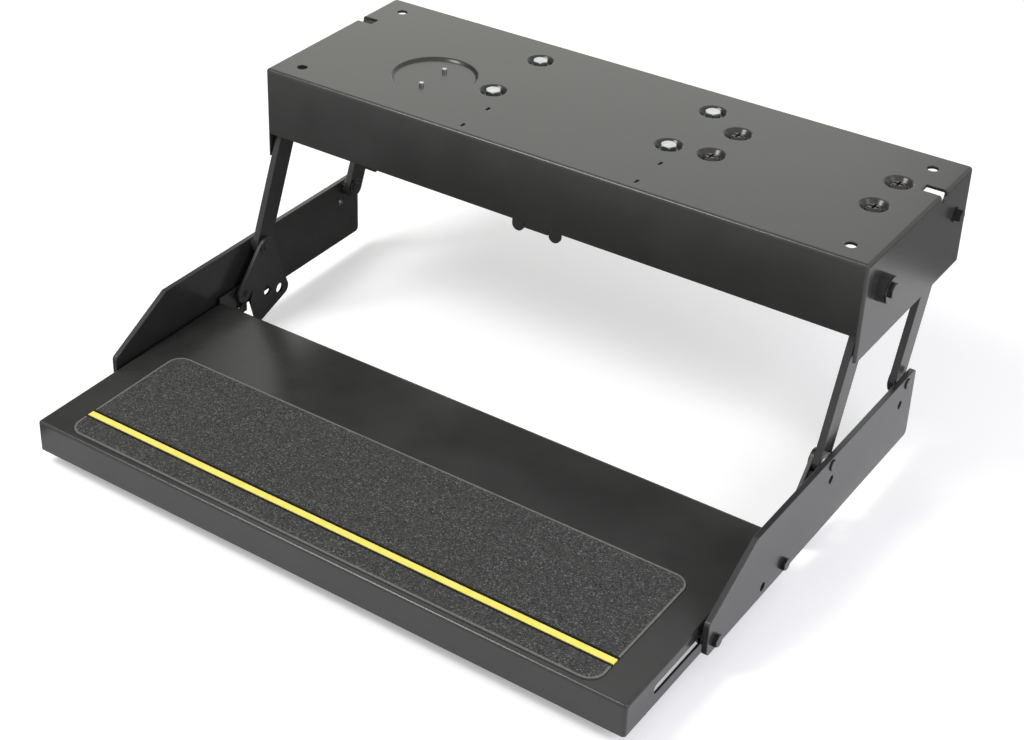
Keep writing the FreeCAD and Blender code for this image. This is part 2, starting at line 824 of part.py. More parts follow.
# Arms, shaft and slide levers that swing together at the front
def build_front_arms():
    keep("front_shaft", cylinder("front_shaft_bar", "X", (-shaft_reach, upper_front_y, upper_z),
                                 2 * shaft_reach, s.shaft_radius))
    radius = s.arm_width / 2
    for side, x in on_sides(arm_inner, arm_outer):
        arm = link_plate(f"front_arm_{side}", s.arm_length, radius, radius,
                         s.shaft_radius, bore_radius, s.arm_thickness)
        place(arm, (x, upper_front_y, upper_z), (1, 0, 0), -s.arm_lean)
        keep(f"front_arm_{side}", arm)

    caps = []
    head_start = shaft_reach + s.end_play
    for side, sign in (("left", -1), ("right", 1)):
        def span(near, far):
            return near if sign > 0 else -far

        washer_end = head_start + s.end_washer_thickness
        head_end = washer_end + s.end_head_height
        washer = cylinder("end_washer", "X",
                          (span(head_start, washer_end), upper_front_y, upper_z),
                          s.end_washer_thickness, s.end_washer_radius)
        head = bolt_head("end_head", "X", (span(washer_end, head_end), upper_front_y, upper_z),
                         s.end_head_height, s.end_head_flats, sign)
        stub = cylinder("end_stub", "X", (span(shaft_reach, head_start), upper_front_y, upper_z),
                        s.end_play, s.pin_radius)
        caps.append(fuse(f"shaft_end_bolt_{side}", washer, head, stub))
    keep("shaft_end_bolts", group("shaft_end_pair", *caps))


def hull_face(circles):
    """The flat face inside a tight band round circles, given counter-clockwise."""
    spans = []
    for index, (y1, z1, r1) in enumerate(circles):
        y2, z2, r2 = circles[(index + 1) % len(circles)]
        distance = math.hypot(y2 - y1, z2 - z1)
        heading = math.atan2(z2 - z1, y2 - y1)
        outward = heading - math.acos((r1 - r2) / distance)
        away = Vector(0, math.cos(outward), math.sin(outward))
        spans.append((Vector(0, y1, z1) + away * r1, Vector(0, y2, z2) + away * r2, outward))
    edges = []
    for index, (start, end, outward) in enumerate(spans):
        edges.append(Part.makeLine(start, end))
        following = spans[(index + 1) % len(spans)]
        y, z, radius = circles[(index + 1) % len(circles)]
        turn = (following[2] - outward) % (2 * math.pi)
        middle = outward + turn / 2
        top = Vector(0, y + radius * math.cos(middle), z + radius * math.sin(middle))
        edges.append(Part.Arc(end, top, following[0]).toShape())
    return Part.Face(Part.Wire(edges))


def build_slide_levers():
    """Flame-cut plates that push the tread in and out as the arms swing."""
    reach = s.slide_pin_reach.number
    angle = math.radians(s.slide_pin_angle.number)
    eye = (-reach * math.sin(angle), -reach * math.cos(angle), s.slide_eye_radius.number)
    tip = s.lever_tip_radius.number
    pivot = (0, 0, s.lever_pivot_radius.number)
    notch = (-s.lever_notch_front.number, -s.lever_notch_drop.number, tip)
    toe = (-s.lever_toe_front.number, -s.lever_toe_drop.number, tip)
    heel = (s.lever_heel_back.number, -s.lever_heel_drop.number, s.lever_heel_radius.number)
    thickness = s.lever_thickness.number
    hole = s.lever_hole_radius.number
    push = Vector(thickness, 0, 0)
    plate = hull_face([pivot, eye]).extrude(push)
    plate = plate.fuse(hull_face([pivot, notch, toe, heel]).extrude(push)).removeSplitter()
    holes = [(0, 0, bore_radius.number), (eye[0], eye[1], s.pin_radius.number),
             (-s.lever_front_hole.number, -s.lever_front_hole_drop.number, hole),
             (s.lever_back_hole.number, -s.lever_back_hole_drop.number, hole)]
    for y, z, radius in holes:
        drill = Part.makeCylinder(radius, thickness, Vector(0, y, z), Vector(1, 0, 0))
        plate = plate.cut(drill)
    for side, x in on_sides(lever_inner, lever_outer):
        lever = doc.addObject("Part::Feature", f"slide_lever_{side}")
        lever.Shape = plate
        place(lever, (x, lower_front_y, lower_z))
        keep(f"slide_lever_{side}", lever)

    pins = []
    pin_end = plate_inner - s.slide_pin_room
    for side, sign in (("left", -1), ("right", 1)):
        length = pin_end - lever_inner
        start = lever_inner if sign > 0 else -pin_end
        shank = cylinder("slide_pin_shank", "X", (start, slide_pin_y, slide_pin_z), length,
                         s.pin_radius)
        head_length = pin_end - tread_half - s.slide_pin_head_room
        head_start = pin_end - head_length if sign > 0 else -pin_end
        head = cylinder("slide_pin_head", "X", (head_start, slide_pin_y, slide_pin_z),
                        head_length, s.slide_pin_head_radius)
        pins.append(fuse(f"slide_pin_{side}", shank, head))
    keep("slide_pins", group("slide_pin_pair", *pins))


# Rear arms and their upper pivot bolts
def build_rear_arms():
    radius = s.arm_width / 2
    for side, x in on_sides(arm_inner, arm_outer):
        arm = link_plate(f"rear_arm_{side}", s.arm_length, radius, radius,
                         bore_radius, bore_radius, s.arm_thickness)
        place(arm, (x, upper_rear_y, upper_z), (1, 0, 0), -s.arm_lean)
        keep(f"rear_arm_{side}", arm)

    bolts, nuts, washers = [], [], []
    washer_end = frame_half + s.pivot_bolt_washer
    head_end = washer_end + s.pivot_head_height
    nut_end = arm_inner - s.lever_gap
    nut_start = nut_end - s.pivot_nut_height
    tip = nut_start - s.thread_end
    for side, sign in (("left", -1), ("right", 1)):
        def at(near, far):
            return (near if sign > 0 else -far, upper_rear_y, upper_z)

        shank = cylinder("pivot_shank", "X", at(tip, frame_half), frame_half - tip, s.pin_radius)
        collar = cylinder("pivot_collar", "X", at(frame_half, washer_end), s.pivot_bolt_washer,
                          s.pivot_bolt_washer_radius)
        head = bolt_head("pivot_head", "X", at(washer_end, head_end), s.pivot_head_height,
                         s.pivot_head_flats, sign)
        bolts.append(fuse(f"rear_pivot_bolt_{side}", shank, collar, head))
        nuts.append(nut(f"rear_pivot_nut_{side}", "X", at(nut_start, nut_end),
                        s.pivot_nut_height, s.pivot_nut_flats, s.pin_radius))
        washers.append(ring(f"rear_pivot_washer_{side}", "X",
                            at(arm_outer + s.washer_play, frame_inner),
                            s.frame_washer - s.washer_play, s.washer_radius,
                            s.pin_radius + s.pivot_clearance))
    keep("rear_pivot_bolts", group("rear_pivot_bolt_pair", *bolts))
    keep("rear_pivot_nuts", group("rear_pivot_nut_pair", *nuts))
    keep("rear_pivot_washers", group("rear_pivot_washer_pair", *washers))


# Side plates with their rivets, washers, slide bolts and bushes
def build_side_plates():
    top_z = lower_z + s.plate_top_margin
    bottom_z = slide_z - s.plate_bottom_margin
    nose_y = slide_front_y - s.plate_front_margin
    outline = [
        (nose_y, bottom_z), (lower_rear_y + s.plate_rear_margin, bottom_z),
        (lower_rear_y + s.plate_rear_margin, top_z), (lower_front_y - s.plate_slope_back, top_z),
        (nose_y, slide_z + s.plate_nose_height)]
    holes = [
        (lower_front_y, lower_z, s.pin_radius), (lower_rear_y, lower_z, s.pin_radius),
        (slide_front_y, slide_z, s.slide_bolt_radius),
        (slide_rear_y, slide_z, s.slide_bolt_radius),
        (lower_front_y, lower_z - s.plate_front_hole_drop, s.plate_hole_radius),
        (lower_rear_y - s.plate_rear_hole_inset, lower_z - s.plate_rear_hole_drop,
         s.plate_hole_radius),
        (lower_front_y - s.plate_middle_hole, slide_z, s.plate_hole_radius)]
    for side, x in on_sides(plate_inner, plate_outer):
        body = new_body(f"side_plate_{side}")
        sketch = new_sketch(body, "YZ_Plane", f"plate_outline_{side}")
        draw_outline(sketch, outline)
        blank = pad(body, sketch, s.plate_thickness)
        round_edges(body, blank, s.plate_corner_radius,
                    lambda middle, direction: is_along(direction, 0))
        drilling = new_sketch(body, "YZ_Plane", f"plate_holes_{side}")
        for y, z, radius in holes:
            draw_circle(drilling, y, z, radius)
        pocket(body, drilling, s.plate_thickness, reverse=True)
        place(body, (x, 0, 0))
        keep(f"side_plate_{side}", body)

    rivets, washers, bolts, bushes, nuts = [], [], [], [], []
    rivet_reach = {lower_front_y: lever_inner, lower_rear_y: arm_inner}
    for side, sign in (("left", -1), ("right", 1)):
        def at(near, far, y, z):
            return (near if sign > 0 else -far, y, z)

        for y, inner in rivet_reach.items():
            washer_near = inner - s.washer_play - s.rivet_washer_thickness
            head_near = washer_near - s.rivet_head_height
            head_far = plate_outer + s.rivet_head_height
            parts = [
                cylinder("rivet_shank", "X", at(washer_near, plate_outer, y, lower_z),
                         plate_outer - washer_near, s.pin_radius),
                cylinder("rivet_washer", "X",
                         at(washer_near, inner - s.washer_play, y, lower_z),
                         s.rivet_washer_thickness, s.rivet_washer_radius),
                cylinder("rivet_head", "X", at(head_near, washer_near, y, lower_z),
                         s.rivet_head_height, s.rivet_head_radius),
                cylinder("rivet_outer_head", "X", at(plate_outer, head_far, y, lower_z),
                         s.rivet_head_height, s.rivet_head_radius)]
            rivets.append(fuse(f"lower_rivet_{side}", *parts))
            washers.append(ring(f"lower_washer_{side}", "X",
                                at(arm_outer + s.washer_play, plate_inner, y, lower_z),
                                s.plate_washer - s.washer_play, s.washer_radius,
                                s.pin_radius + s.pivot_clearance))
        for y in (slide_front_y, slide_rear_y):
            bush_near = tread_wall - s.washer_play
            washer_near = bush_near - s.slide_washer_thickness
            nut_near = washer_near - s.slide_nut_height
            tip = nut_near - s.thread_end
            head_far = plate_outer + s.slide_head_height
            bolts.append(fuse(
                f"slide_bolt_{side}",
                cylinder("slide_shank", "X", at(tip, plate_outer, y, slide_z),
                         plate_outer - tip, s.slide_bolt_radius),
                bolt_head("slide_head", "X", at(plate_outer, head_far, y, slide_z),
                          s.slide_head_height, s.slide_head_flats, sign)))
            flange_near = tread_half + s.washer_play
            sleeve = cylinder("slide_sleeve", "X", at(bush_near, plate_inner, y, slide_z),
                              plate_inner - bush_near, s.slide_bush_radius)
            flange = cylinder("slide_flange", "X", at(flange_near, plate_inner, y, slide_z),
                              plate_inner - flange_near, s.slide_bush_flange_radius)
            bore = cylinder("slide_bore", "X", at(bush_near, plate_inner, y, slide_z),
                            plate_inner - bush_near, s.slide_bolt_radius)
            bushes.append(cut(f"slide_bush_{side}", fuse("slide_bush_turned", sleeve, flange),
                              bore))
            washer = cylinder("slide_washer", "X", at(washer_near, bush_near, y, slide_z),
                              s.slide_washer_thickness, s.slide_bush_flange_radius)
            hexagonal = hexagon("slide_nut", "X", at(nut_near, washer_near, y, slide_z),
                                s.slide_nut_height, s.slide_nut_flats)
            thread = cylinder("slide_nut_bore", "X", at(nut_near, bush_near, y, slide_z),
                              bush_near - nut_near, s.slide_bolt_radius)
            nuts.append(cut(f"slide_nut_{side}", fuse("slide_nut_blank", washer, hexagonal),
                            thread))
    keep("lower_pivot_rivets", group("lower_rivet_set", *rivets))
    keep("lower_pivot_washers", group("lower_washer_set", *washers))
    keep("slide_bolts", group("slide_bolt_set", *bolts))
    keep("slide_bushes", group("slide_bush_set", *bushes))
    keep("slide_nuts", group("slide_nut_set", *nuts))


# Tread: a folded pan, open below, with a slotted ear behind each side wall
def build_tread():
    body = new_body("tread_pan")
    plan = new_sketch(body, "XY_Plane", "tread_plan", tread_top_z)
    draw_rectangle(plan, -tread_half, tread_front_y, tread_half, tread_back_y)
    block = pad(body, plan, s.tread_height, reverse=True)
    bottom = tread_bottom_z.number + 0.01
    round_edges(body, block, s.bend_radius, lambda middle, direction: middle.z > bottom)
    inside = new_sketch(body, "XY_Plane", "tread_inside", tread_top_z - s.tread_sheet)
    draw_rectangle(inside, -tread_wall, tread_front_y + s.tread_sheet,
                   tread_wall, tread_back_y - s.tread_sheet)
    pocket(body, inside, s.tread_height)

    added = [body]
    cuts = []
    slot_radius = s.slide_bush_radius + s.slide_clearance
    slot_run = s.slide_travel + 2 * s.slide_end_room
    ear_low_z = tread_bottom_z + s.ear_bottom_room
    pin_slot_radius = s.pin_radius + s.slide_pin_play
    pin_slot_y = lower_front_y - s.slide_travel / 2
    pin_low_z = lower_z - s.slide_pin_reach
    ear_start_y = tread_back_y - s.bend_radius
    ear_end_y = pin_slot_y + pin_slot_radius + s.ear_margin
    for side, x in on_sides(tread_wall, tread_half):
        added.append(box("ear", (x, ear_start_y, ear_low_z), s.tread_sheet,
                         ear_end_y - ear_start_y, tread_top_z + s.ear_rise - ear_low_z))
        for bolt_y in (slide_front_y, slide_rear_y):
            rear_end = bolt_y + s.slide_end_room
            front_end = rear_end - slot_run
            cuts.append(box("slot", (x - CUT_ROOM, front_end, slide_z - slot_radius),
                            s.tread_sheet + 2 * CUT_ROOM, slot_run, 2 * slot_radius))
            for end in (front_end, rear_end):
                cuts.append(cylinder("slot_end", "X", (x - CUT_ROOM, end, slide_z),
                                     s.tread_sheet + 2 * CUT_ROOM, slot_radius))
        for end_z in (slide_pin_z, pin_low_z):
            cuts.append(cylinder("ear_slot_end", "X", (x - CUT_ROOM, pin_slot_y, end_z),
                                 s.tread_sheet + 2 * CUT_ROOM, pin_slot_radius))
        cuts.append(box("ear_slot", (x - CUT_ROOM, pin_slot_y - pin_slot_radius, pin_low_z),
                        s.tread_sheet + 2 * CUT_ROOM, 2 * pin_slot_radius,
                        slide_pin_z - pin_low_z))
    keep("tread", cut("tread_cut", fuse("tread_sheet_metal", *added), *cuts))


# Grip mat: a stuck-on abrasive sheet in two pieces with the stripe between them
def build_grip_mat():
    front = tread_front_y + s.mat_front
    stripe_front = tread_front_y + s.stripe_front
    stripe_back = stripe_front + s.stripe_width
    back = front + s.mat_depth
    spans = [("mat_front_strip", front, stripe_front - s.stripe_gap),
             ("mat_rear_sheet", stripe_back + s.stripe_gap, back)]
    sheets = []
    for name, near, far in spans:
        body = new_body(name)
        sketch = new_sketch(body, "XY_Plane", name + "_plan", tread_top_z)
        draw_rectangle(sketch, -mat_half_width, near, mat_half_width, far)
        blank = pad(body, sketch, s.mat_thickness)
        outer = near.number if name == "mat_front_strip" else far.number

        def is_corner(middle, direction):
            return is_along(direction, 2) and abs(middle.y - outer) < 0.01

        round_edges(body, blank, s.mat_corner_radius, is_corner)
        sheets.append(body)
    keep("grip_mat", group("grip_mat_sheets", *sheets))
    keep("yellow_stripe", box("stripe", (-mat_half_width, stripe_front, tread_top_z),
                              2 * mat_half_width, s.stripe_width, s.mat_thickness))


# Gears with involute teeth
def involute_gear(teeth, module, backlash, phase, kept=None):
    """A flat gear face about X; kept limits the teeth to some indexes."""
    pitch = module * teeth / 2
    base = pitch * math.cos(math.radians(20))
    tip = pitch + module
    foot = pitch - 1.25 * module

    def spread(radius):
        pressure = math.acos(min(1, base / radius))
        return math.tan(pressure) - pressure

    half_tooth = (math.pi * module / 2 - backlash) / (2 * pitch)

    def flank(radius):
        return half_tooth + spread(pitch) - spread(max(radius, base))

    def point(radius, angle):
        return Vector(0, radius * math.sin(angle), -radius * math.cos(angle))

    radii = (foot, max(base, foot), (max(base, foot) + tip) / 2, tip)
    step = 2 * math.pi / teeth
    indexes = range(teeth) if kept is None else kept
    edges = []
    for index in indexes:
        middle = phase + index * step
        rising = [point(radius, middle - flank(radius)) for radius in radii]
        falling = [point(radius, middle + flank(radius)) for radius in radii]
        if edges:
            gap = middle - step / 2
            edges.append(Part.Arc(last_foot, point(foot, gap), rising[0]).toShape())
        if foot < base:
            edges.append(Part.makeLine(rising[0], rising[1]))
        edges.append(Part.Arc(rising[1], rising[2], rising[3]).toShape())
        edges.append(Part.Arc(rising[3], point(tip, middle), falling[3]).toShape())
        edges.append(Part.Arc(falling[3], falling[2], falling[1]).toShape())
        if foot < base:
            edges.append(Part.makeLine(falling[1], falling[0]))
        last_foot = falling[0]
    return edges, foot, step


def build_sector_gear():
    """The toothed arc covers the swing; the rest is cut back to a web and hub."""
    module = s.gear_module.number
    teeth = int(s.sector_full_teeth.number)
    count = int(s.sector_teeth.number)
    mesh = math.radians(s.mesh_angle.number)
    step = 2 * math.pi / teeth
    phase = mesh + step / 2 - (count - 1) * step
    edges, foot, step = involute_gear(teeth, module, s.tooth_backlash.number, phase, range(count))
    first = edges[0].Vertexes[0].Point
    last = edges[-1].Vertexes[-1].Point
    hub = s.sector_hub_radius.number
    centre = Vector(0, 0, 0)
    rim = Part.Wire([Part.makeLine(centre, first)] + edges + [Part.makeLine(last, centre)])
    thickness = s.gear_thickness.number
    gear = Part.Face(rim).extrude(Vector(thickness, 0, 0))
    gear = gear.fuse(Part.makeCylinder(hub, thickness, centre, Vector(1, 0, 0)))
    bore = Part.makeCylinder(s.sector_shaft_radius.number, thickness, centre, Vector(1, 0, 0))
    gear = gear.cut(bore).removeSplitter()
    item = doc.addObject("Part::Feature", "sector_gear")
    item.Shape = gear
    place(item, (sector_left_x, sector_y, sector_z))
    keep("sector_gear", item)


def build_pinion():
    module = s.gear_module.number
    teeth = int(s.pinion_teeth.number)
    # A tooth of the pinion points at the gap of the sector on the line of centres
    phase = math.radians(s.mesh_angle.number) + math.pi
    edges, foot, step = involute_gear(teeth, module, s.tooth_backlash.number, phase)
    start = edges[0].Vertexes[0].Point
    end = edges[-1].Vertexes[-1].Point
    gap_angle = phase - step / 2
    gap = Vector(0, foot * math.sin(gap_angle), -foot * math.cos(gap_angle))
    edges.append(Part.Arc(end, gap, start).toShape())
    width = s.gear_thickness.number
    gear = Part.Face(Part.Wire(edges)).extrude(Vector(width, 0, 0))
    stub_length = s.pinion_width.number - width + s.cradle_sheet.number
    stub = Part.makeCylinder(s.pinion_shaft_radius.number, stub_length, Vector(width, 0, 0),
                             Vector(1, 0, 0))
    item = doc.addObject("Part::Feature", "pinion")
    item.Shape = gear.fuse(stub)
    place(item, (sector_left_x, motor_y, motor_z))
    keep("pinion", item)


# Crank, rod and shaft lever that carry the sector's swing to the front shaft
def build_drive_links():
    keep("sector_shaft", cylinder("sector_shaft_bar", "X", (crank_left_x, sector_y, sector_z),
                                  sector_right_x - crank_left_x, s.sector_shaft_radius))
    crank = link_plate("crank", s.crank_reach, s.crank_hub_radius, s.crank_eye_radius,
                       s.sector_shaft_radius, s.pin_radius, s.crank_thickness)
    place(crank, (crank_left_x, sector_y, sector_z), (1, 0, 0), -s.crank_angle)
    keep("crank", crank)
    lever = link_plate("shaft_lever", s.crank_reach, s.crank_hub_radius, s.crank_eye_radius,
                       s.shaft_radius, s.pin_radius, s.crank_thickness)
    place(lever, (crank_left_x, upper_front_y, upper_z), (1, 0, 0), -s.crank_angle)
    keep("shaft_lever", lever)

    run = sector_y - upper_front_y
    drop = upper_z - sector_z
    pin_y = -s.crank_reach * sine(s.crank_angle)
    pin_z = -s.crank_reach * cosine(s.crank_angle)
    for name, y, z in (("crank_pin", sector_y, sector_z), ("lever_pin", upper_front_y, upper_z)):
        at = (clip_left_x, y + pin_y, z + pin_z)
        shank = cylinder(name + "_shank", "X", at, crank_right_x - clip_left_x, s.pin_radius)
        clip = cylinder(name + "_clip", "X", at, s.clip_thickness, s.slide_pin_head_radius)
        keep(name, fuse(name + "_fused", shank, clip))
    rod = link_plate("drive_rod", root(run * run + drop * drop), s.rod_eye_radius,
                     s.rod_eye_radius, bore_radius, bore_radius, s.rod_thickness)
    place(rod, (rod_left_x, sector_y + pin_y, sector_z + pin_z), (1, 0, 0),
          -(90 + arc_tangent(drop / run)))
    keep("drive_rod", rod)


def build_sector_pedestal():
    """A cast stand under the pressed disc with the sector shaft's long bearing."""
    foot = cylinder("pedestal_foot_disc", "Z", (disc_x, sector_y, foot_under_z),
                    s.pedestal_foot, s.pedestal_foot_radius)
    post = box("pedestal_post", (barrel_left_x, sector_y - s.pedestal_post_width / 2, sector_z),
               s.barrel_length, s.pedestal_post_width, foot_under_z - sector_z)
    barrel = cylinder("pedestal_barrel", "X", (barrel_left_x, sector_y, sector_z),
                      s.barrel_length, s.barrel_radius)
    bore = cylinder("pedestal_bore", "X", (barrel_left_x, sector_y, sector_z),
                    s.barrel_length, s.sector_shaft_radius + s.pivot_clearance)
    holes = [cylinder("pedestal_hole", "Z", (x, y, foot_under_z), s.pedestal_foot,
                      s.stud_radius + s.screw_clearance) for x, y in stud_places()]
    keep("sector_pedestal", cut("pedestal_cut", fuse("pedestal_cast", foot, post, barrel),
                                bore, *holes))
    studs, nuts = [], []
    for x, y in stud_places():
        nut_top = foot_under_z
        low = nut_top - s.stud_nut_height
        end = low - s.thread_end
        studs.append(cylinder("pedestal_stud", "Z", (x, y, end),
                              s.stud_rise - s.disc_depth - end, s.stud_radius))
        nuts.append(nut("pedestal_nut", "Z", (x, y, low), s.stud_nut_height,
                        s.stud_nut_flats, s.stud_radius))
    keep("pedestal_studs", group("pedestal_stud_pair", *studs))
    keep("pedestal_nuts", group("pedestal_nut_pair", *nuts))


# Gearmotor in its folded cradle
def build_motor():
    body = new_body("cradle_fold")
    sketch = new_sketch(body, "XZ_Plane", "cradle_profile", -(motor_y + s.cradle_half_depth))
    right = motor_bolt_right + s.cradle_right
    low_z = dimple_under_z - s.cradle_face_height
    draw_outline(sketch, [
        (cradle_face_x, low_z), (cradle_face_x + s.cradle_sheet, low_z),
        (cradle_face_x + s.cradle_sheet, cradle_under_z), (right, cradle_under_z),
        (right, dimple_under_z), (cradle_face_x, dimple_under_z)])
    fold = pad(body, sketch, 2 * s.cradle_half_depth)
    outer_x = cradle_face_x.number
    outer_z = dimple_under_z.number

    def is_bend(middle, direction):
        return is_along(direction, 1) and math.hypot(middle.x - outer_x, middle.z - outer_z) < 1

    round_edges(body, fold, s.bend_radius, is_bend)
    holes = [cylinder("cradle_hole", "Z", (x, y, cradle_under_z - CUT_ROOM),
                      s.cradle_sheet + 2 * CUT_ROOM, s.zinc_bolt_radius + s.screw_clearance)
             for x, y in zinc_bolt_places()]
    holes.append(cylinder("cradle_window", "X", (cradle_face_x - CUT_ROOM, motor_y, motor_z),
                          s.cradle_sheet + 2 * CUT_ROOM, s.spigot_radius + s.screw_clearance))
    keep("motor_cradle", cut("motor_cradle_cut", body, *holes))

    box_x = cradle_face_x + s.cradle_sheet
    case = cylinder("gearbox_case", "X", (box_x, motor_y, motor_z), s.gearbox_length,
                    s.motor_radius)
    spigot = cylinder("gearbox_spigot", "X", (cradle_face_x, motor_y, motor_z), s.cradle_sheet,
                      s.spigot_radius)
    bore = cylinder("gearbox_bore", "X", (cradle_face_x, motor_y, motor_z), s.cradle_sheet,
                    s.pinion_shaft_radius + s.pivot_clearance)
    keep("gearbox_housing", cut("gearbox_cut", fuse("gearbox_cast", case, spigot), bore))
    can_radius = s.motor_radius - s.motor_can_step
    keep("motor_can", cylinder("motor_tube", "X", (gearbox_end_x, motor_y, motor_z),
                               motor_length, can_radius))
    cap = cylinder("motor_cap_disc", "X", (motor_end_x, motor_y, motor_z), s.motor_cap_length,
                   s.motor_radius)
    gland = cylinder("motor_cap_gland", "X", (motor_end_x + s.motor_cap_length, motor_y, motor_z),
                     s.gland_length, s.pinion_shaft_radius)
    keep("motor_end_cap", fuse("motor_cap_fused", cap, gland))

    inner = can_radius + s.screw_clearance
    outer = inner + s.strap_sheet
    left = motor_bolt_right - s.strap_width / 2
    band = cylinder("strap_band", "X", (left, motor_y, motor_z), s.strap_width, outer)
    upper = cradle_under_z - motor_z
    legs = box("strap_legs", (left, motor_y - outer, motor_z), s.strap_width, 2 * outer, upper)
    ears = box("strap_ears", (left, motor_y - s.cradle_half_depth, cradle_under_z - s.strap_sheet),
               s.strap_width, 2 * s.cradle_half_depth, s.strap_sheet)
    hollow = cylinder("strap_hollow", "X", (left, motor_y, motor_z), s.strap_width, inner)
    throat = box("strap_throat", (left, motor_y - inner, motor_z), s.strap_width, 2 * inner,
                 upper + CUT_ROOM)
    strap_holes = [cylinder("strap_hole", "Z", (x, y, cradle_under_z - s.strap_sheet),
                            s.strap_sheet, s.zinc_bolt_radius + s.screw_clearance)
                   for x, y in zinc_bolt_places()[2:]]
    keep("motor_strap", cut("motor_strap_cut", fuse("motor_strap_blank", band, legs, ears),
                            hollow, throat, *strap_holes))

    bolts, nuts = [], []
    for index, (x, y) in enumerate(zinc_bolt_places()):
        shank = cylinder("zinc_shank", "Z", (x, y, dimple_floor_z - s.zinc_bolt_length),
                         s.zinc_bolt_length, s.zinc_bolt_radius)
        head = bolt_head("zinc_head", "Z", (x, y, dimple_floor_z), s.zinc_head_height,
                         s.zinc_head_flats)
        bolts.append(fuse("zinc_bolt", shank, head))
        seat = cradle_under_z if index < 2 else cradle_under_z - s.strap_sheet
        nuts.append(nut("zinc_nut", "Z", (x, y, seat - s.zinc_nut_height), s.zinc_nut_height,
                        s.zinc_head_flats, s.zinc_bolt_radius))
    keep("motor_bolts", group("zinc_bolt_set", *bolts))
    keep("motor_nuts", group("zinc_nut_set", *nuts))


# Control unit: a moulded box with two ears, held by four dark cross-recess screws
def build_control_unit():
    middle_y = apron_y + s.screw_front + s.screw_spacing_y / 2
    length = s.screw_spacing_x - 2 * s.unit_end_margin
    body = new_body("unit_box")
    plan = new_sketch(body, "XY_Plane", "unit_plan", dimple_under_z)
    draw_rectangle(plan, unit_left_x, middle_y - s.unit_half_depth,
                   unit_left_x + length, middle_y + s.unit_half_depth)
    block = pad(body, plan, s.unit_height, reverse=True)
    low_z = dimple_under_z - s.unit_height
    round_edges(body, block, s.bend_radius,
                lambda middle, direction: is_along(direction, 2) or middle.z < low_z.number + 0.01)
    ear_depth = s.screw_spacing_y + 2 * s.unit_ear_margin
    ears = box("unit_ears", (screw_left_x - s.unit_ear_margin, middle_y - ear_depth / 2,
                             dimple_under_z - s.unit_ear_thickness),
               s.screw_spacing_x + 2 * s.unit_ear_margin, ear_depth, s.unit_ear_thickness)
    holes = [cylinder("unit_hole", "Z", (x, y, dimple_under_z - s.unit_ear_thickness),
                      s.unit_ear_thickness, s.screw_radius + s.screw_clearance)
             for x, y in screw_places()]
    keep("control_unit", cut("control_unit_cut", fuse("unit_moulding", body, ears), *holes))

    socket_x = unit_left_x + length
    socket_z = low_z + s.socket_rise
    shell = box("socket_shell", (socket_x, middle_y - s.socket_depth / 2, socket_z),
                s.socket_length, s.socket_depth, s.socket_height)
    wall = s.socket_wall
    mouth = box("socket_mouth", (socket_x + wall, middle_y - s.socket_depth / 2 + wall,
                                 socket_z + wall),
                s.socket_length, s.socket_depth - 2 * wall, s.socket_height - 2 * wall)
    keep("control_socket", cut("control_socket_cut", shell, mouth))

    screws, nuts = [], []
    ear_under = dimple_under_z - s.unit_ear_thickness
    for x, y in screw_places():
        shank = cylinder("screw_shank", "Z", (x, y, dimple_floor_z - s.screw_length),
                         s.screw_length, s.screw_radius)
        skirt = cone("screw_skirt", (x, y, dimple_floor_z), s.screw_shoulder_height,
                     s.screw_head_radius, s.screw_shoulder_radius)
        crown = cone("screw_crown", (x, y, dimple_floor_z + s.screw_shoulder_height),
                     s.screw_head_height - s.screw_shoulder_height,
                     s.screw_shoulder_radius, s.screw_crown_radius)
        recess_z = dimple_floor_z + s.screw_head_height - s.cross_depth
        slots = [
            box("cross_slot", (x - s.cross_length / 2, y - s.cross_width / 2, recess_z),
                s.cross_length, s.cross_width, s.cross_depth),
            box("cross_slot", (x - s.cross_width / 2, y - s.cross_length / 2, recess_z),
                s.cross_width, s.cross_length, s.cross_depth)]
        screws.append(cut("control_screw", fuse("control_screw_blank", shank, skirt, crown),
                          *slots))
        nuts.append(nut("control_nut", "Z", (x, y, ear_under - s.unit_nut_height),
                        s.unit_nut_height, s.unit_nut_flats, s.screw_radius))
    keep("control_screws", group("control_screw_set", *screws))
    keep("control_nuts", group("control_nut_set", *nuts))


def build_stop_bumper():
    """The shaft lever's eye rests on this rubber block when the step is out."""
    eye_y = upper_front_y - s.crank_reach * sine(s.crank_angle) - s.crank_eye_radius
    eye_z = upper_z - s.crank_reach * cosine(s.crank_angle)
    face_y = apron_y + s.frame_sheet
    height = s.stop_height
    keep("stop_bumper", box("bumper", (crank_left_x - s.stop_width / 4, face_y, eye_z - height / 2),
                            s.stop_width, eye_y - s.stop_gap - face_y, height))


build_step_frame()
build_shaft_supports()
build_front_arms()
build_slide_levers()
build_rear_arms()
build_side_plates()
build_tread()
build_grip_mat()
build_sector_gear()
build_pinion()
build_drive_links()
build_sector_pedestal()
build_motor()
build_control_unit()
build_stop_bumper()
doc.recompute()

# Every object must be sound before anything is written
for item in doc.Objects:
    if "Invalid" in item.State or "Error" in item.State:
        raise RuntimeError(f"{item.Name} did not compute: {item.State}")
for item in nodes:
    if item.Shape.isNull() or not item.Shape.isValid():
        raise RuntimeError(f"{item.Label} has no sound shape")
os.makedirs("parts", exist_ok=True)
for item in nodes:
    item.Shape.exportStep(f"parts/{item.Label}.step")
    print(item.Label, len(item.Shape.Solids), round(item.Shape.Volume))
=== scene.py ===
import math

import bpy
from mathutils import Matrix, Vector


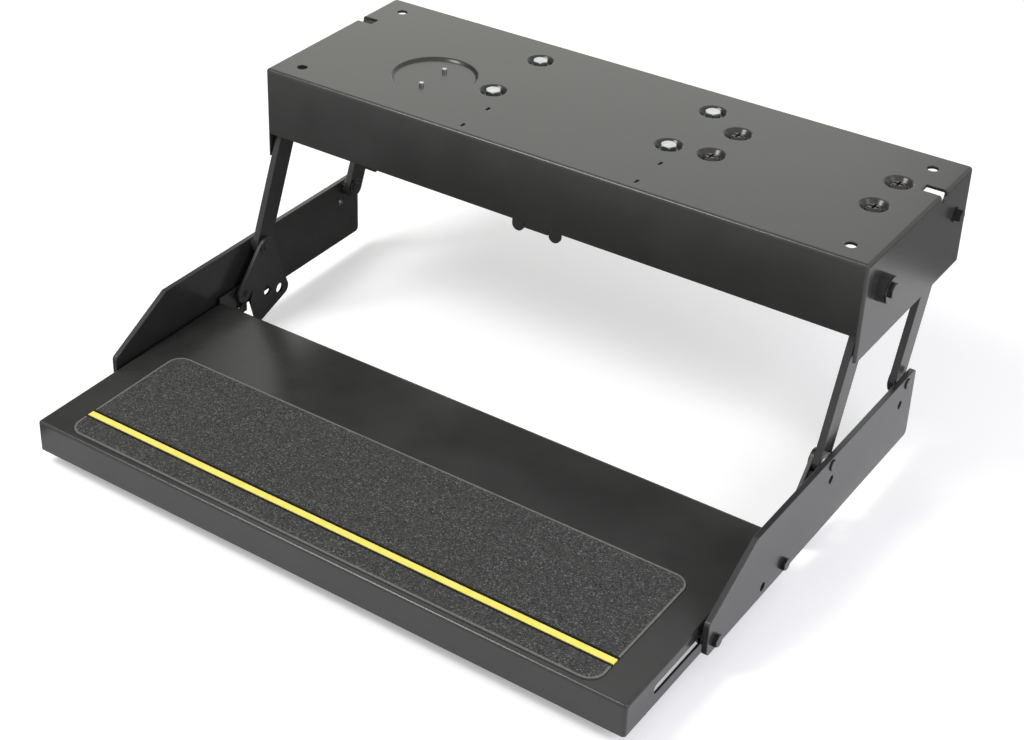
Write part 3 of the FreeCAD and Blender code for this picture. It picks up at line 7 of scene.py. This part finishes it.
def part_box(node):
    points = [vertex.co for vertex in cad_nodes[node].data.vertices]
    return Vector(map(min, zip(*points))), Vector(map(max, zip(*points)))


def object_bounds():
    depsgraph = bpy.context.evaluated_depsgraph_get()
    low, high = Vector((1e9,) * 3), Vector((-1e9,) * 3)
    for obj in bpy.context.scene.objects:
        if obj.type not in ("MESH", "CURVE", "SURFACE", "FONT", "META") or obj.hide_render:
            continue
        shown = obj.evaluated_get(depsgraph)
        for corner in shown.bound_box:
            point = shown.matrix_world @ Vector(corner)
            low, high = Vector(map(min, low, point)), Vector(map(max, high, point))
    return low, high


# Electric entry step for a caravan or motorhome, standing fully extended.
# Metres, +X to the right, +Y to the rear, +Z up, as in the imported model.
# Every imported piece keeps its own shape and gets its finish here.
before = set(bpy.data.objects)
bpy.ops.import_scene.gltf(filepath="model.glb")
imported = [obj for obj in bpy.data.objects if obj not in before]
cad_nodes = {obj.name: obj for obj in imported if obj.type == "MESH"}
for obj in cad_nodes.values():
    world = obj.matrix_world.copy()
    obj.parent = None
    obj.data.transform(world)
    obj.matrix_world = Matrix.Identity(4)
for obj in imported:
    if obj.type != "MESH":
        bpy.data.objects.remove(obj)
cad_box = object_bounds()


# Step frame
# One steel sheet 2.7 mm thick, folded down at the front and both sides, open behind and below.
# It is punched, pressed and folded first, then blasted and powder coated in satin black.
def linear(hex_colour):
    """An sRGB hex colour as linear red, green, blue and alpha."""
    shares = [int(hex_colour[at:at + 2], 16) / 255 for at in (1, 3, 5)]
    return [c / 12.92 if c <= 0.04045 else ((c + 0.055) / 1.055) ** 2.4 for c in shares] + [1.0]


def add_node(tree, kind, inputs=None, **settings):
    """Add a node with its settings; each input takes a value or the output that feeds it."""
    made = tree.nodes.new(kind)
    for name, value in settings.items():
        setattr(made, name, value)
    for name, value in (inputs or {}).items():
        if isinstance(value, bpy.types.NodeSocket):
            tree.links.new(value, made.inputs[name])
        else:
            made.inputs[name].default_value = value
    return made


def new_finish(name):
    """An empty material: its node tree, its shader and the place on the piece in metres."""
    finish = bpy.data.materials.new(name)
    finish.use_nodes = True
    tree = finish.node_tree
    shader = tree.nodes["Principled BSDF"]
    spot = add_node(tree, "ShaderNodeTexCoord").outputs["Object"]
    return finish, tree, shader, spot


def dress(finish, *names):
    """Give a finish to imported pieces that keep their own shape."""
    for name in names:
        slots = cad_nodes[name].material_slots
        for slot in slots:
            slot.material = finish
        if not slots:
            cad_nodes[name].data.materials.append(finish)


# Satin polyester powder coat, melted to one skin in an oven: nearly black, with a soft sheen that
# blurs what it mirrors and slightly duller clouds 40 mm wide. Its ripple is drawn 1.6 mm apart,
# coarser than it is, so that it shows. On sharp edges the coat is thinner, and a painted highlight
# makes it greyer there.
noise_low, noise_high = 0.3, 0.7  # nearly all of a noise lies between these
mix_share, first_colour, second_colour, mixed_colour = 0, 6, 7, 2  # a colour mix's sockets
ripple_spacing = 0.0016
ripple_height = 0.0001
cloud_spacing = 0.040
edge_width = 0.0011
thin_coat_and_highlight_grey = 0.6
edge_sharp, edge_soft = 0.80, 0.99  # how alike the rounded and the flat normal are
powder_coat, tree, shader, spot = new_finish("satin_black_powder_coat")
ripple = add_node(tree, "ShaderNodeTexNoise", {"Vector": spot, "Scale": 1 / ripple_spacing})
clouds = add_node(tree, "ShaderNodeTexNoise",
                  {"Vector": spot, "Scale": 1 / cloud_spacing, "Detail": 3.0}).outputs["Fac"]
cloud_share = add_node(tree, "ShaderNodeMapRange",
                       {"Value": clouds, "From Min": noise_low, "From Max": noise_high})
coat_colour = add_node(tree, "ShaderNodeMix",
                       {mix_share: cloud_share.outputs["Result"],
                        first_colour: linear("#2a2a29"), second_colour: linear("#2f2f2e")},
                       data_type="RGBA")
edge_normal = add_node(tree, "ShaderNodeBevel", {"Radius": edge_width}, samples=4).outputs["Normal"]
flat_normal = add_node(tree, "ShaderNodeNewGeometry").outputs["Normal"]
alike = add_node(tree, "ShaderNodeVectorMath", {0: edge_normal, 1: flat_normal},
                 operation="DOT_PRODUCT")
thin_coat_and_highlight_share = add_node(tree, "ShaderNodeMapRange",
                      {"Value": alike.outputs["Value"], "From Min": edge_soft,
                       "From Max": edge_sharp, "To Min": 0.0, "To Max": thin_coat_and_highlight_grey})
# Sharp edges are mixed towards a paler grey: partly thinner coat, partly a painted highlight along
# edges and folds.
thin_coat_and_highlight_colour = add_node(tree, "ShaderNodeMix",
                       {mix_share: thin_coat_and_highlight_share.outputs["Result"],
                        first_colour: coat_colour.outputs[mixed_colour],
                        second_colour: linear("#4a4a48")}, data_type="RGBA")
tree.links.new(thin_coat_and_highlight_colour.outputs[mixed_colour], shader.inputs["Base Color"])
sheen = add_node(tree, "ShaderNodeMapRange",
                 {"Value": clouds, "From Min": noise_low, "From Max": noise_high,
                  "To Min": 0.22, "To Max": 0.25})
tree.links.new(sheen.outputs["Result"], shader.inputs["Roughness"])
shader.inputs["IOR"].default_value = 1.45
bump = add_node(tree, "ShaderNodeBump",
                {"Height": ripple.outputs["Fac"], "Strength": 0.25, "Distance": ripple_height,
                 "Normal": edge_normal})
tree.links.new(bump.outputs["Normal"], shader.inputs["Normal"])
dress(powder_coat, "step_frame")


# Shaft bearings and hangers
# Two turned nylon bearings sit in the frame's sides. Two cut plates with bushes hang between
# them: their tabs stand in the slits of the top.
def shade_by(tree, shader, pattern, shades, roughness, share=None):
    """Move a finish between two roughnesses with a pattern, and between two shades with it too,
    or with a share of their own."""
    colour = add_node(tree, "ShaderNodeMix",
                      {mix_share: pattern if share is None else share,
                       first_colour: linear(shades[0]), second_colour: linear(shades[1])},
                      data_type="RGBA")
    tree.links.new(colour.outputs[mixed_colour], shader.inputs["Base Color"])
    rough = add_node(tree, "ShaderNodeMapRange",
                     {"Value": pattern, "From Min": noise_low, "From Max": noise_high,
                      "To Min": roughness[0], "To Max": roughness[1]})
    tree.links.new(rough.outputs["Result"], shader.inputs["Roughness"])


# Black nylon, turned and a little waxy: dark, with a soft sheen. Its grain is drawn 0.8 mm apart,
# coarser than it is, so that it shows.
nylon_grain = 0.0008
nylon_depth = 0.00008
nylon, tree, shader, spot = new_finish("black_nylon")
grain = add_node(tree, "ShaderNodeTexNoise",
                 {"Vector": spot, "Scale": 1 / nylon_grain}).outputs["Fac"]
shade_by(tree, shader, grain, shades=("#191918", "#252523"), roughness=(0.42, 0.55))
bump = add_node(tree, "ShaderNodeBump",
                {"Height": grain, "Strength": 0.2, "Distance": nylon_depth})
tree.links.new(bump.outputs["Normal"], shader.inputs["Normal"])
dress(nylon, "shaft_bearing_left", "shaft_bearing_right", "hanger_bushes")
dress(powder_coat, "shaft_hanger_left", "shaft_hanger_right")

# Front cross shaft and front arms
# A drawn bar turns in the bearings and carries two flat bars, 22 by 6.35 mm, on its ends. A bolt
# with its washer closes each end.

# Bright drawn steel: pale metal whose highlights stretch along the bar, which is X on this step.
# The streaks of the die are drawn 0.9 mm apart and 18 mm long, coarser than they are.
streak_spacing = 0.0009
streak_squeeze = 0.05
drawn_steel, tree, shader, spot = new_finish("bright_drawn_steel")
shader.inputs["Metallic"].default_value = 1.0
along = add_node(tree, "ShaderNodeMapping", {"Vector": spot, "Scale": (streak_squeeze, 1.0, 1.0)})
streaks = add_node(tree, "ShaderNodeTexNoise",
                   {"Vector": along.outputs["Vector"], "Scale": 1 / streak_spacing}).outputs["Fac"]
shade_by(tree, shader, streaks, shades=("#8f8f8c", "#b4b3ae"), roughness=(0.22, 0.34))
dress(drawn_steel, "front_shaft")

# Oiled black oxide on steel: dark metal with small, clear highlights. The oil lies in patches
# about 1.2 mm wide.
oil_patch = 0.0012
black_oxide, tree, shader, spot = new_finish("black_oxide_steel")
shader.inputs["Metallic"].default_value = 1.0
oil = add_node(tree, "ShaderNodeTexNoise", {"Vector": spot, "Scale": 1 / oil_patch}).outputs["Fac"]
shade_by(tree, shader, oil, shades=("#333231", "#504e4c"), roughness=(0.18, 0.28))
dress(black_oxide, "shaft_end_bolts")
dress(powder_coat, "front_arm_left", "front_arm_right")

# Slide levers
# Two flame-cut plates fixed to the front arms' lower ends. Their pins stand in upright slots of
# the tread's ears and push the tread out as the step opens.
dress(powder_coat, "slide_lever_left", "slide_lever_right")
dress(black_oxide, "slide_pins")

# Rear arms
# Two flat bars like the front ones. They swing on bolts in the frame's sides, each with a washer
# and a nut inside.
dress(powder_coat, "rear_arm_left", "rear_arm_right")
dress(black_oxide, "rear_pivot_bolts")

# Bright zinc plate on steel: cool white metal, slightly hazy in patches 6 mm wide. Its crystals
# break up the highlights; they are drawn 1.6 mm apart, coarser than they are.
crystal_spacing = 0.0016
crystal_height = 0.0001
haze_spacing = 0.006
zinc, tree, shader, spot = new_finish("zinc_plated_steel")
shader.inputs["Metallic"].default_value = 1.0
crystals = add_node(tree, "ShaderNodeTexVoronoi", {"Vector": spot, "Scale": 1 / crystal_spacing})
haze = add_node(tree, "ShaderNodeTexNoise",
                {"Vector": spot, "Scale": 1 / haze_spacing, "Detail": 3.0}).outputs["Fac"]
haze_share = add_node(tree, "ShaderNodeMapRange",
                      {"Value": haze, "From Min": noise_low, "From Max": noise_high})
shade_by(tree, shader, haze, shades=("#a3a5a7", "#c4c6c8"), roughness=(0.28, 0.40),
         share=haze_share.outputs["Result"])
bump = add_node(tree, "ShaderNodeBump",
                {"Height": crystals.outputs["Distance"], "Strength": 0.4,
                 "Distance": crystal_height})
tree.links.new(bump.outputs["Normal"], shader.inputs["Normal"])
dress(zinc, "rear_pivot_nuts", "rear_pivot_washers")

# Side plates
# Two cut plates 4.8 mm thick, coated like the frame. Each hangs on a front and a rear arm by a
# riveted pivot, with a washer between plate and arm.
dress(powder_coat, "side_plate_left", "side_plate_right", "lower_pivot_rivets")
dress(zinc, "lower_pivot_washers")

# Tread
# A pan folded from 2 mm sheet, coated like the frame. Slots in its sides run on nylon bushes, two
# to a side, which are bolted to the side plates.
dress(powder_coat, "tread")
dress(black_oxide, "slide_bolts")
dress(nylon, "slide_bushes")
dress(zinc, "slide_nuts")

# Grip mat
# An abrasive sheet stuck on the tread in two parts, with the stripe between them. It is mineral
# grit in black resin on a thin film, cut with round corners.

# Black grit: matt and rough, with single grains that glint lighter and greyer patches 18 mm wide.
# It is drawn as 1 mm grains, coarser than it is, so that they show. The cut rim shows pale, and a
# smooth black border runs along the stripe.
grit_spacing = 0.0010
grit_height = 0.0003
patch_spacing = 0.018
mat_corner = 0.014
rim_start, rim_end = 0.0022, 0.0006  # distances inside the cut edge
border_start, border_end = 0.0066, 0.0054  # distances from the stripe's middle
mat_low, mat_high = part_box("grip_mat")
mat_middle = (mat_low + mat_high) / 2
mat_half = (mat_high - mat_low) / 2
stripe_low, stripe_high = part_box("yellow_stripe")
stripe_middle = (stripe_low.y + stripe_high.y) / 2
grit_mat, tree, shader, spot = new_finish("black_grit_mat")
grains = add_node(tree, "ShaderNodeTexVoronoi", {"Vector": spot, "Scale": 1 / grit_spacing})
grain_share = add_node(tree, "ShaderNodeSeparateColor", {"Color": grains.outputs["Color"]})
grain_colour = add_node(tree, "ShaderNodeValToRGB", {"Fac": grain_share.outputs["Red"]})
ramp = grain_colour.color_ramp
ramp.elements[0].position, ramp.elements[0].color = 0.0, linear("#202020")
ramp.elements[1].position, ramp.elements[1].color = 1.0, linear("#747472")
for position, grey in ((0.55, "#3e3e3d"), (0.88, "#50504e")):
    ramp.elements.new(position).color = linear(grey)
patches = add_node(tree, "ShaderNodeTexNoise",
                   {"Vector": spot, "Scale": 1 / patch_spacing, "Detail": 3.0})
patch_share = add_node(tree, "ShaderNodeMapRange",
                       {"Value": patches.outputs["Fac"], "From Min": noise_low,
                        "From Max": noise_high, "To Min": 0.0, "To Max": 0.35})
grit_colour = add_node(tree, "ShaderNodeMix",
                       {mix_share: patch_share.outputs["Result"],
                        first_colour: grain_colour.outputs["Color"],
                        second_colour: linear("#3a3a38")}, data_type="RGBA")

# How far a place lies out from the rounded outline, the same in all four quarters of the mat.
offset = add_node(tree, "ShaderNodeVectorMath",
                  {0: spot, 1: (mat_middle.x, mat_middle.y, mat_middle.z)}, operation="SUBTRACT")
folded = add_node(tree, "ShaderNodeVectorMath", {0: offset.outputs["Vector"]}, operation="ABSOLUTE")
inset = add_node(tree, "ShaderNodeVectorMath",
                 {0: folded.outputs["Vector"],
                  1: (mat_half.x - mat_corner, mat_half.y - mat_corner, 1.0)},
                 operation="SUBTRACT")
clipped = add_node(tree, "ShaderNodeVectorMath", {0: inset.outputs["Vector"], 1: (0, 0, 0)},
                   operation="MAXIMUM")
reach = add_node(tree, "ShaderNodeVectorMath", {0: clipped.outputs["Vector"]}, operation="LENGTH")
rim_share = add_node(tree, "ShaderNodeMapRange",
                     {"Value": reach.outputs["Value"], "From Min": mat_corner - rim_start,
                      "From Max": mat_corner - rim_end, "To Min": 0.0, "To Max": 0.6})
rim_colour = add_node(tree, "ShaderNodeMix",
                      {mix_share: rim_share.outputs["Result"],
                       first_colour: grit_colour.outputs[mixed_colour],
                       second_colour: linear("#8a8a84")}, data_type="RGBA")

# The smooth border, by its distance from the stripe's middle.
across = add_node(tree, "ShaderNodeSeparateXYZ", {"Vector": spot})
beside = add_node(tree, "ShaderNodeMath", {0: across.outputs["Y"], 1: stripe_middle},
                  operation="SUBTRACT")
beside = add_node(tree, "ShaderNodeMath", {0: beside.outputs["Value"]}, operation="ABSOLUTE")
border_share = add_node(tree, "ShaderNodeMapRange",
                        {"Value": beside.outputs["Value"], "From Min": border_start,
                         "From Max": border_end, "To Min": 0.0, "To Max": 1.0})
mat_colour = add_node(tree, "ShaderNodeMix",
                      {mix_share: border_share.outputs["Result"],
                       first_colour: rim_colour.outputs[mixed_colour],
                       second_colour: linear("#030304")}, data_type="RGBA")
tree.links.new(mat_colour.outputs[mixed_colour], shader.inputs["Base Color"])
shader.inputs["Roughness"].default_value = 0.9
shader.inputs["Specular IOR Level"].default_value = 0.25
bump = add_node(tree, "ShaderNodeBump",
                {"Height": grains.outputs["Distance"], "Strength": 0.6, "Distance": grit_height},
                invert=True)
tree.links.new(bump.outputs["Normal"], shader.inputs["Normal"])
dress(grit_mat, "grip_mat")

# Yellow stripe
# A strip of marking film 6.4 mm wide, stuck on the tread between the mat's two parts. It is
# printed in one colour and reaches over the mat's whole width.

# Printed marking film: even pale yellow, half matt, a little paler where shoes have rubbed it.
# The rubbed patches are 10 mm wide.
wear_spacing = 0.010
yellow, tree, shader, spot = new_finish("yellow_marking_film")
wear = add_node(tree, "ShaderNodeTexNoise",
                {"Vector": spot, "Scale": 1 / wear_spacing, "Detail": 4.0}).outputs["Fac"]
wear_share = add_node(tree, "ShaderNodeMapRange",
                      {"Value": wear, "From Min": noise_low, "From Max": noise_high})
shade_by(tree, shader, wear, shades=("#e9dc5a", "#efe576"), roughness=(0.45, 0.6),
         share=wear_share.outputs["Result"])
dress(yellow, "yellow_stripe")

# Sector pedestal
# A cast stand with a long bearing barrel, coated like the frame. Its foot lies under the frame's
# pressed disc on two zinc-plated studs with nuts, whose tips show on top.
dress(powder_coat, "sector_pedestal")
dress(zinc, "pedestal_studs", "pedestal_nuts")

# Toothed sector, crank and drive rod
# The motor's pinion turns a sector of ten machined teeth on a shaft in the pedestal. A crank on
# the same shaft pulls the rod, which turns the lever on the front cross shaft.

# Machined gear steel under a film of oil: warm grey metal. The cutter's marks are drawn 0.7 mm
# apart, coarser than they are, and soften its highlights.
gear_grain = 0.0007
gear_steel, tree, shader, spot = new_finish("machined_gear_steel")
shader.inputs["Metallic"].default_value = 1.0
grain = add_node(tree, "ShaderNodeTexNoise",
                 {"Vector": spot, "Scale": 1 / gear_grain}).outputs["Fac"]
shade_by(tree, shader, grain, shades=("#77756f", "#9c9a93"), roughness=(0.26, 0.38))
dress(gear_steel, "sector_gear", "pinion")
dress(drawn_steel, "sector_shaft", "crank_pin", "lever_pin")
dress(powder_coat, "crank", "shaft_lever")
dress(zinc, "drive_rod")

# Gearmotor
# A tubular direct-current motor with a die-cast gearbox and end cap. It lies in a folded cradle
# under a strap, which the four zinc-plated bolts in the top's dimples hold.

# Die-cast metal as it leaves the mould: dull grey, with a slightly uneven skin whose flow marks
# are about 1.8 mm apart.
cast_grain = 0.0018
cast_height = 0.0002
cast_metal, tree, shader, spot = new_finish("die_cast_housing")
shader.inputs["Metallic"].default_value = 1.0
grain = add_node(tree, "ShaderNodeTexNoise",
                 {"Vector": spot, "Scale": 1 / cast_grain, "Detail": 4.0}).outputs["Fac"]
shade_by(tree, shader, grain, shades=("#83827d", "#a3a29b"), roughness=(0.45, 0.60))
bump = add_node(tree, "ShaderNodeBump",
                {"Height": grain, "Strength": 0.4, "Distance": cast_height})
tree.links.new(bump.outputs["Normal"], shader.inputs["Normal"])
dress(cast_metal, "gearbox_housing", "motor_end_cap")

# Black enamel sprayed on the motor's steel tube: smooth and glossier than the powder coat, with
# faint clouds 12 mm wide where the spray overlaps.
spray_spacing = 0.012
enamel, tree, shader, spot = new_finish("black_motor_enamel")
clouds = add_node(tree, "ShaderNodeTexNoise",
                  {"Vector": spot, "Scale": 1 / spray_spacing, "Detail": 3.0}).outputs["Fac"]
shade_by(tree, shader, clouds, shades=("#131314", "#1d1d1f"), roughness=(0.2, 0.32))
dress(enamel, "motor_can")
dress(powder_coat, "motor_cradle", "motor_strap")
dress(zinc, "motor_bolts", "motor_nuts")

# Control unit
# A moulded box with an ear at each end and a connector socket, which switches the motor. It hangs
# under the top's right half on four dark cross-recess screws with nuts.

# Moulded ABS with an even mould texture: matt black. The texture is drawn 0.9 mm apart, coarser
# than it is, so that it shows.
abs_grain = 0.0009
abs_height = 0.0001
moulded, tree, shader, spot = new_finish("moulded_black_abs")
grain = add_node(tree, "ShaderNodeTexNoise",
                 {"Vector": spot, "Scale": 1 / abs_grain}).outputs["Fac"]
shade_by(tree, shader, grain, shades=("#1a1a1b", "#262627"), roughness=(0.48, 0.62))
bump = add_node(tree, "ShaderNodeBump",
                {"Height": grain, "Strength": 0.35, "Distance": abs_height})
tree.links.new(bump.outputs["Normal"], shader.inputs["Normal"])
dress(moulded, "control_unit", "control_socket")
dress(black_oxide, "control_screws")
dress(zinc, "control_nuts")

# Rubber stop
# A moulded rubber block fixed inside the frame's front. The shaft lever's eye rests on it when
# the step is out.

# Moulded rubber: matt, dusty black, slightly uneven about every 1.1 mm.
rubber_grain = 0.0011
rubber, tree, shader, spot = new_finish("moulded_rubber")
grain = add_node(tree, "ShaderNodeTexNoise",
                 {"Vector": spot, "Scale": 1 / rubber_grain}).outputs["Fac"]
shade_by(tree, shader, grain, shades=("#161616", "#232322"), roughness=(0.75, 0.9))
dress(rubber, "stop_bumper")


# Studio floor
# A plain white floor far larger than the view. It answers the lamps, so it keeps a soft shadow,
# and glows a little where the camera or a reflection looks at it.
def looked_at(tree):
    """1 where the camera, a reflection or a clear material looks, 0 for light on things."""
    ray = add_node(tree, "ShaderNodeLightPath")
    seen = add_node(tree, "ShaderNodeMath", {0: ray.outputs["Is Camera Ray"],
                                             1: ray.outputs["Is Glossy Ray"]}, operation="MAXIMUM")
    seen = add_node(tree, "ShaderNodeMath", {0: seen.outputs["Value"],
                                             1: ray.outputs["Is Transmission Ray"]},
                    operation="MAXIMUM")
    return seen.outputs["Value"]


def matt_paint(name, colour):
    """A paint or card without gloss: its material, its node tree and its shader."""
    paint = bpy.data.materials.new(name)
    paint.use_nodes = True
    shader = paint.node_tree.nodes["Principled BSDF"]
    shader.inputs["Base Color"].default_value = linear(colour)
    shader.inputs["Roughness"].default_value = 1.0
    shader.inputs["Specular IOR Level"].default_value = 0.0
    return paint, paint.node_tree, shader


def lay_sheet(name, paint, corner, side, rise):
    """A flat sheet of the studio from one corner, along one edge and then along the other."""
    corner, side, rise = Vector(corner), Vector(side), Vector(rise)
    mesh = bpy.data.meshes.new(name)
    mesh.from_pydata([corner, corner + side, corner + side + rise, corner + rise],
                     [], [(0, 1, 2, 3)])
    mesh.materials.append(paint)
    sheet = bpy.data.objects.new(name, mesh)
    bpy.context.scene.collection.objects.link(sheet)
    return sheet


floor_reach = 14.0
floor_drop = 0.0005
floor_glow = 0.34
floor_z = cad_box[0].z - floor_drop
floor_paint, tree, shader = matt_paint("matt_white_floor_paint", "#ececec")
glow = add_node(tree, "ShaderNodeMath", {0: looked_at(tree), 1: floor_glow}, operation="MULTIPLY")
shader.inputs["Emission Color"].default_value = linear("#ffffff")
tree.links.new(glow.outputs["Value"], shader.inputs["Emission Strength"])
lay_sheet("studio_floor", floor_paint, corner=(-floor_reach, -floor_reach, floor_z),
          side=(2 * floor_reach, 0, 0), rise=(0, 2 * floor_reach, 0))

# Surroundings
# A white room: full white where the camera or a reflection looks, half that as light on things.
room_light, room_seen = 0.5, 1.0
room = bpy.data.worlds.new("white_studio")
bpy.context.scene.world = room
room.use_nodes = True
tree = room.node_tree
level = add_node(tree, "ShaderNodeMapRange",
                 {"Value": looked_at(tree), "To Min": room_light, "To Max": room_seen})
tree.nodes["Background"].inputs["Color"].default_value = linear("#ffffff")
tree.links.new(level.outputs["Result"], tree.nodes["Background"].inputs["Strength"])

# Soft boxes
# Three large soft lamps face the step's middle: a wide one behind on the left, which the top
# mirrors, the key light high in front on the left, and a small one near the right end.
step_middle = (cad_box[0] + cad_box[1]) / 2


def soft_box(name, direction, distance, width, height, power, tint):
    """A soft lamp that faces the step's middle; only the camera doesn't see it."""
    lamp = bpy.data.lights.new(name, "AREA")
    lamp.shape = "RECTANGLE"
    lamp.size, lamp.size_y = width, height
    lamp.energy = power
    lamp.color = linear(tint)[:3]
    holder = bpy.data.objects.new(name, lamp)
    bpy.context.scene.collection.objects.link(holder)
    away = Vector(direction).normalized()
    holder.location = step_middle + away * distance
    holder.rotation_euler = (-away).to_track_quat("-Z", "Y").to_euler()
    holder.visible_camera = False


soft_box("back_soft_box", direction=(-0.60, 0.72, 0.42), distance=2.8,
         width=2.6, height=1.5, power=8, tint="#fffff2")
soft_box("key_soft_box", direction=(-0.42, -0.47, 0.76), distance=2.6,
         width=1.0, height=0.9, power=40, tint="#ffffff")
soft_box("right_soft_box", direction=(0.9, -0.1, 0.5), distance=1.3,
         width=0.9, height=0.6, power=7, tint="#f3f2ff")

# Grey cards
# Four matt cards that only reflections see, so the coat that mirrors them looks dark. The frame's
# right side mirrors the rear one, apron and left plate the floor's, the tread's end the left one.
card_lift = 0.001
card_left = -0.95
tread_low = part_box("tread")[0]
floor_card_front = tread_low.y + 0.03
floor_card_rear = 0.45
front_card_right = tread_low.x - 0.03
front_card_front = tread_low.y - 0.1
grey_card = matt_paint("mid_grey_card", "#969696")[0]
for name, corner, side, rise in (
        ("rear_card", (0.33, 0.33, floor_z), (0.87, 0, 0), (0, 0, 0.208)),
        ("floor_card", (card_left, floor_card_front, floor_z + card_lift),
         (1.25, 0, 0), (0, floor_card_rear - floor_card_front, 0)),
        ("front_left_card", (card_left, front_card_front, floor_z + card_lift),
         (front_card_right - card_left, 0, 0), (0, floor_card_front - front_card_front, 0)),
        ("left_card", (-1.2, 0.85, -0.1), (0, -1.25, 0), (0, 0, 1.1))):
    card = lay_sheet(name, grey_card, corner, side, rise)
    card.visible_camera = False
    card.visible_diffuse = False
    card.visible_shadow = False

# Camera
# It stands to the right of the front and looks down on the step, as the photograph's did. Its
# place, its turns and its lens belong together.
camera_place = (0.789062, -1.388389, 0.788192)
camera_turn = math.radians(37.478)
camera_drop = math.radians(30.854)
camera_roll = math.radians(-0.458)
ahead = Vector((-math.sin(camera_turn) * math.cos(camera_drop),
                math.cos(camera_turn) * math.cos(camera_drop), -math.sin(camera_drop)))
level_right = ahead.cross(Vector((0, 0, 1))).normalized()
level_up = level_right.cross(ahead)
right = math.cos(camera_roll) * level_right + math.sin(camera_roll) * level_up
up = -math.sin(camera_roll) * level_right + math.cos(camera_roll) * level_up
lens = bpy.data.cameras.new("view_camera")
lens.sensor_width = 36.0
lens.lens = 69.176
lens.shift_x = 0.15
lens.shift_y = -0.10
lens.clip_end = 60.0
camera = bpy.data.objects.new("view_camera", lens)
bpy.context.scene.collection.objects.link(camera)
camera.matrix_world = Matrix.Translation(camera_place) @ Matrix(
    (right, up, -ahead)).transposed().to_4x4()
bpy.context.scene.camera = camera
bpy.context.scene.view_settings.view_transform = "Standard"

bpy.context.view_layer.update()
